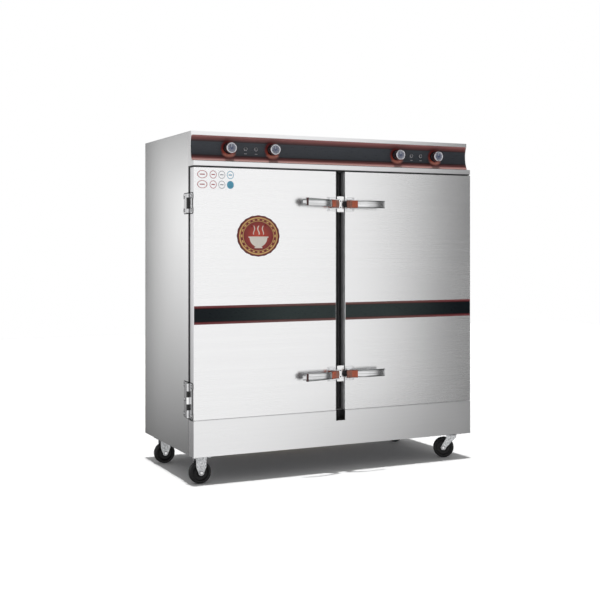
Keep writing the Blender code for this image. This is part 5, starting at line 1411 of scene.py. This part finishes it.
for name in ("left_front", "left_rear", "right_front", "right_rear"):
    joint = joint_of[f"wheel_{name}"]
    axis = np.array(joint["axis"], float)
    tread = [(0.0062, -WHEEL_HALF), (0.0128, -WHEEL_HALF), (0.0136, -0.0140), (0.0140, -0.0056)]
    tread += [(0.0160, -0.0046), (0.0310, -0.0046), (0.0335, -0.0060), (0.0345, -0.0100)]
    tread += [(0.0352, -0.0138), (0.0375, -WHEEL_HALF)]
    tread += [(0.0430, -0.0148), (0.0465, -0.0128), (0.0484, -0.0090), (WHEEL_RADIUS, -0.0040)]
    tread += [(radius, -depth) for radius, depth in reversed(tread)] + [tread[0]]
    wheel = turned(tread, joint["pos_m"], axis, 96)
    piece(f"wheel_{name}", [wheel], wheel_black, "wheel", f"wheel_{name}", f"caster_wheel_{name}")
for name in ("front", "rear"):
    low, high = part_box(f"caster_fork_left_{name}")
    centre = joint_of[f"wheel_left_{name}"]["pos_m"]
    cheeks, washers, nuts = fork(centre, RIGHTWARD, 0.0, FIXED_HALF, high.z - PLATE_SIZE[2] + PLATE_LAP)
    shells = cheeks + top_plate(low, high)
    piece(f"fixed_fork_{name}", shells, zinc, "galvanised", "cabinet", f"caster_fork_left_{name}")
    piece(f"fixed_washers_{name}", washers, washer_steel, "hardware", "cabinet")
    piece(f"fixed_nuts_{name}", nuts, hardware, "hardware", "cabinet")
    low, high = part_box(f"caster_plate_right_{name}")
    pivot = np.array(joint_of[f"swivel_{name}"]["pos_m"], float)
    race = [(0, 0), (0.021, 0), (0.0225, -0.0012), (0.0225, -0.0040), (0.021, -0.0050), (0.0062, -0.0050)]
    race += [(0.0060, -0.0096), (0.0100, -0.0096), (0.0100, -0.0136), (0, -0.0136)]
    race = turned(race, (pivot[0], pivot[1], high.z - PLATE_SIZE[2]), UPWARD, 48)
    shells = top_plate(low, high) + [race]
    piece(f"swivel_plate_{name}", shells, zinc, "galvanised", "cabinet", f"caster_plate_right_{name}")
    axle = np.array(joint_of[f"wheel_right_{name}"]["pos_m"], float)
    lead = (axle - pivot) * (1, 1, 0)
    trail = float(np.linalg.norm(lead))
    low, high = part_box(f"caster_fork_right_{name}")
    crown = [(0.0066, 0), (0.0255, 0), (0.0270, -0.0012), (0.0270, -0.0034), (0.0262, -0.0040)]
    crown += [(0.0066, -0.0040), (0.0066, 0)]
    ahead = tuple(lead / trail)
    cheeks, washers, nuts = fork(pivot, ahead, trail, SWIVEL_HALF, high.z - CROWN_LAP)
    cheeks.append(turned(crown, (pivot[0], pivot[1], high.z), UPWARD, 48))
    piece(f"swivel_fork_{name}", cheeks, zinc, "galvanised", f"swivel_{name}", f"caster_fork_right_{name}")
    piece(f"swivel_washers_{name}", washers, washer_steel, "hardware", f"swivel_{name}")
    piece(f"swivel_nuts_{name}", nuts, hardware, "hardware", f"swivel_{name}")

# Studio: a white floor, an even white surround, a high lamp that drops the shadow straight down, and grey
# cards that only reflections see, as a photographer flags polished steel.

FLOOR_SIZE = 14.0
SKY_FILL = 0.45
LAMP_STRENGTH = 2.6
LAMP_SPREAD = 1.2
scene = bpy.context.scene
scene.view_settings.view_transform = "Standard"

floor_mesh = bpy.data.meshes.new("floor")
half = FLOOR_SIZE / 2
corners = [(-half, -half, 0), (half, -half, 0), (half, half, 0), (-half, half, 0)]
floor_mesh.from_pydata(corners, [], [(0, 1, 2, 3)])
floor = bpy.data.objects.new("floor", floor_mesh)
scene.collection.objects.link(floor)
floor_white = bpy.data.materials.new("floor_white")
floor_white.use_nodes = True
floor_tree = floor_white.node_tree
floor_tree.nodes["Principled BSDF"].inputs["Base Color"].default_value = (0.93, 0.93, 0.93, 1)
floor_tree.nodes["Principled BSDF"].inputs["Roughness"].default_value = 0.9
floor_mesh.materials.append(floor_white)
floor.visible_glossy = False


def card(name, corners, brightness):
    """A card that only mirror-like rays meet. Its brightness is a number or a function of its x and z."""
    mesh = bpy.data.meshes.new(name)
    mesh.from_pydata(corners, [], [(0, 1, 2, 3)])
    made = bpy.data.objects.new(name, mesh)
    scene.collection.objects.link(made)
    matt = bpy.data.materials.new(name)
    matt.use_nodes = True
    tree = matt.node_tree
    x, y, z = Socket(tree).node("ShaderNodeTexCoord", output="Object").axes()
    shade = brightness(x, z) if callable(brightness) else (brightness, brightness, brightness, 1)
    glow = Socket(tree).node("ShaderNodeEmission", None, {"Color": shade})
    tree.links.new(glow.plug, tree.nodes["Material Output"].inputs["Surface"])
    mesh.materials.append(matt)
    made.visible_camera = False
    made.visible_diffuse = False
    made.visible_shadow = False
    made.visible_transmission = False


def right_fall(x, z):
    """Bright by the mullion, dark past the right door; towards the floor it darkens from further left."""
    doors = x.ramp(1.72, 2.42, 1.0, 0.12)
    apron = x.ramp(0.60, 2.25, 1.0, 0.12)
    return doors.maths("MINIMUM", z.ramp(-0.34, -0.08, 0.0, 1.0) + apron)


def left_fall(x, z):
    """Dark behind the cabinet, and falling off from shoulder height to the floor and to the top."""
    sideways = x.ramp(-1.40, -1.16, 1.0, 0.0)
    upward = z.ramp(-0.30, 1.10, 0.19, 1.0)
    top = z.ramp(1.35, 1.75, 1.0, 0.50)
    return sideways.maths("MINIMUM", upward.maths("MINIMUM", top))


card("card_right", [(0.4, -3.0, -2.5), (4.8, -3.0, -2.5), (4.8, -3.0, 3.5), (0.4, -3.0, 3.5)], right_fall)
card("card_left", [(-3.2, 2.0, -2.5), (0.6, 2.0, -2.5), (0.6, 2.0, 3.5), (-3.2, 2.0, 3.5)], left_fall)
card("card_high", [(-4.0, -5.0, 3.6), (4.0, -5.0, 3.6), (4.0, 3.0, 3.6), (-4.0, 3.0, 3.6)], 0.20)
card("card_low", [(-4.0, -5.0, -1.6), (4.0, -5.0, -1.6), (4.0, 3.0, -1.6), (-4.0, 3.0, -1.6)], 0.30)

world = bpy.data.worlds.new("studio")
scene.world = world
world.use_nodes = True
background = world.node_tree.nodes["Background"]
background.inputs["Color"].default_value = (1, 1, 1, 1)
rays = Socket(world.node_tree)
seen = rays.node("ShaderNodeLightPath", output="Is Camera Ray")
mirrored = rays.node("ShaderNodeLightPath", output="Is Glossy Ray")
through = rays.node("ShaderNodeLightPath", output="Is Transmission Ray")
direct = (seen + mirrored + through).held()
upward = rays.node("ShaderNodeTexCoord", output="Generated").axes()[2]
fill = upward.rise(0.0, 0.70) * SKY_FILL
world.node_tree.links.new((direct + (1 - direct) * fill).plug, background.inputs["Strength"])

lamp = bpy.data.lights.new("high_lamp", "SUN")
lamp.energy = LAMP_STRENGTH
lamp.angle = math.radians(LAMP_SPREAD)
high_lamp = bpy.data.objects.new("high_lamp", lamp)
scene.collection.objects.link(high_lamp)

LENS_MM = 64.19
SENSOR_MM = 36.0
LENS_SHIFT = -0.0925
CAMERA_PLACE = (-2.2412, -4.6046, 1.0218)
CAMERA_TURN = -25.53
camera_data = bpy.data.cameras.new("camera")
camera_data.lens = LENS_MM
camera_data.sensor_width = SENSOR_MM
camera_data.shift_y = LENS_SHIFT
camera = bpy.data.objects.new("camera", camera_data)
camera.location = CAMERA_PLACE
camera.rotation_euler = (math.radians(90), 0, math.radians(CAMERA_TURN))
scene.collection.objects.link(camera)
scene.camera = camera
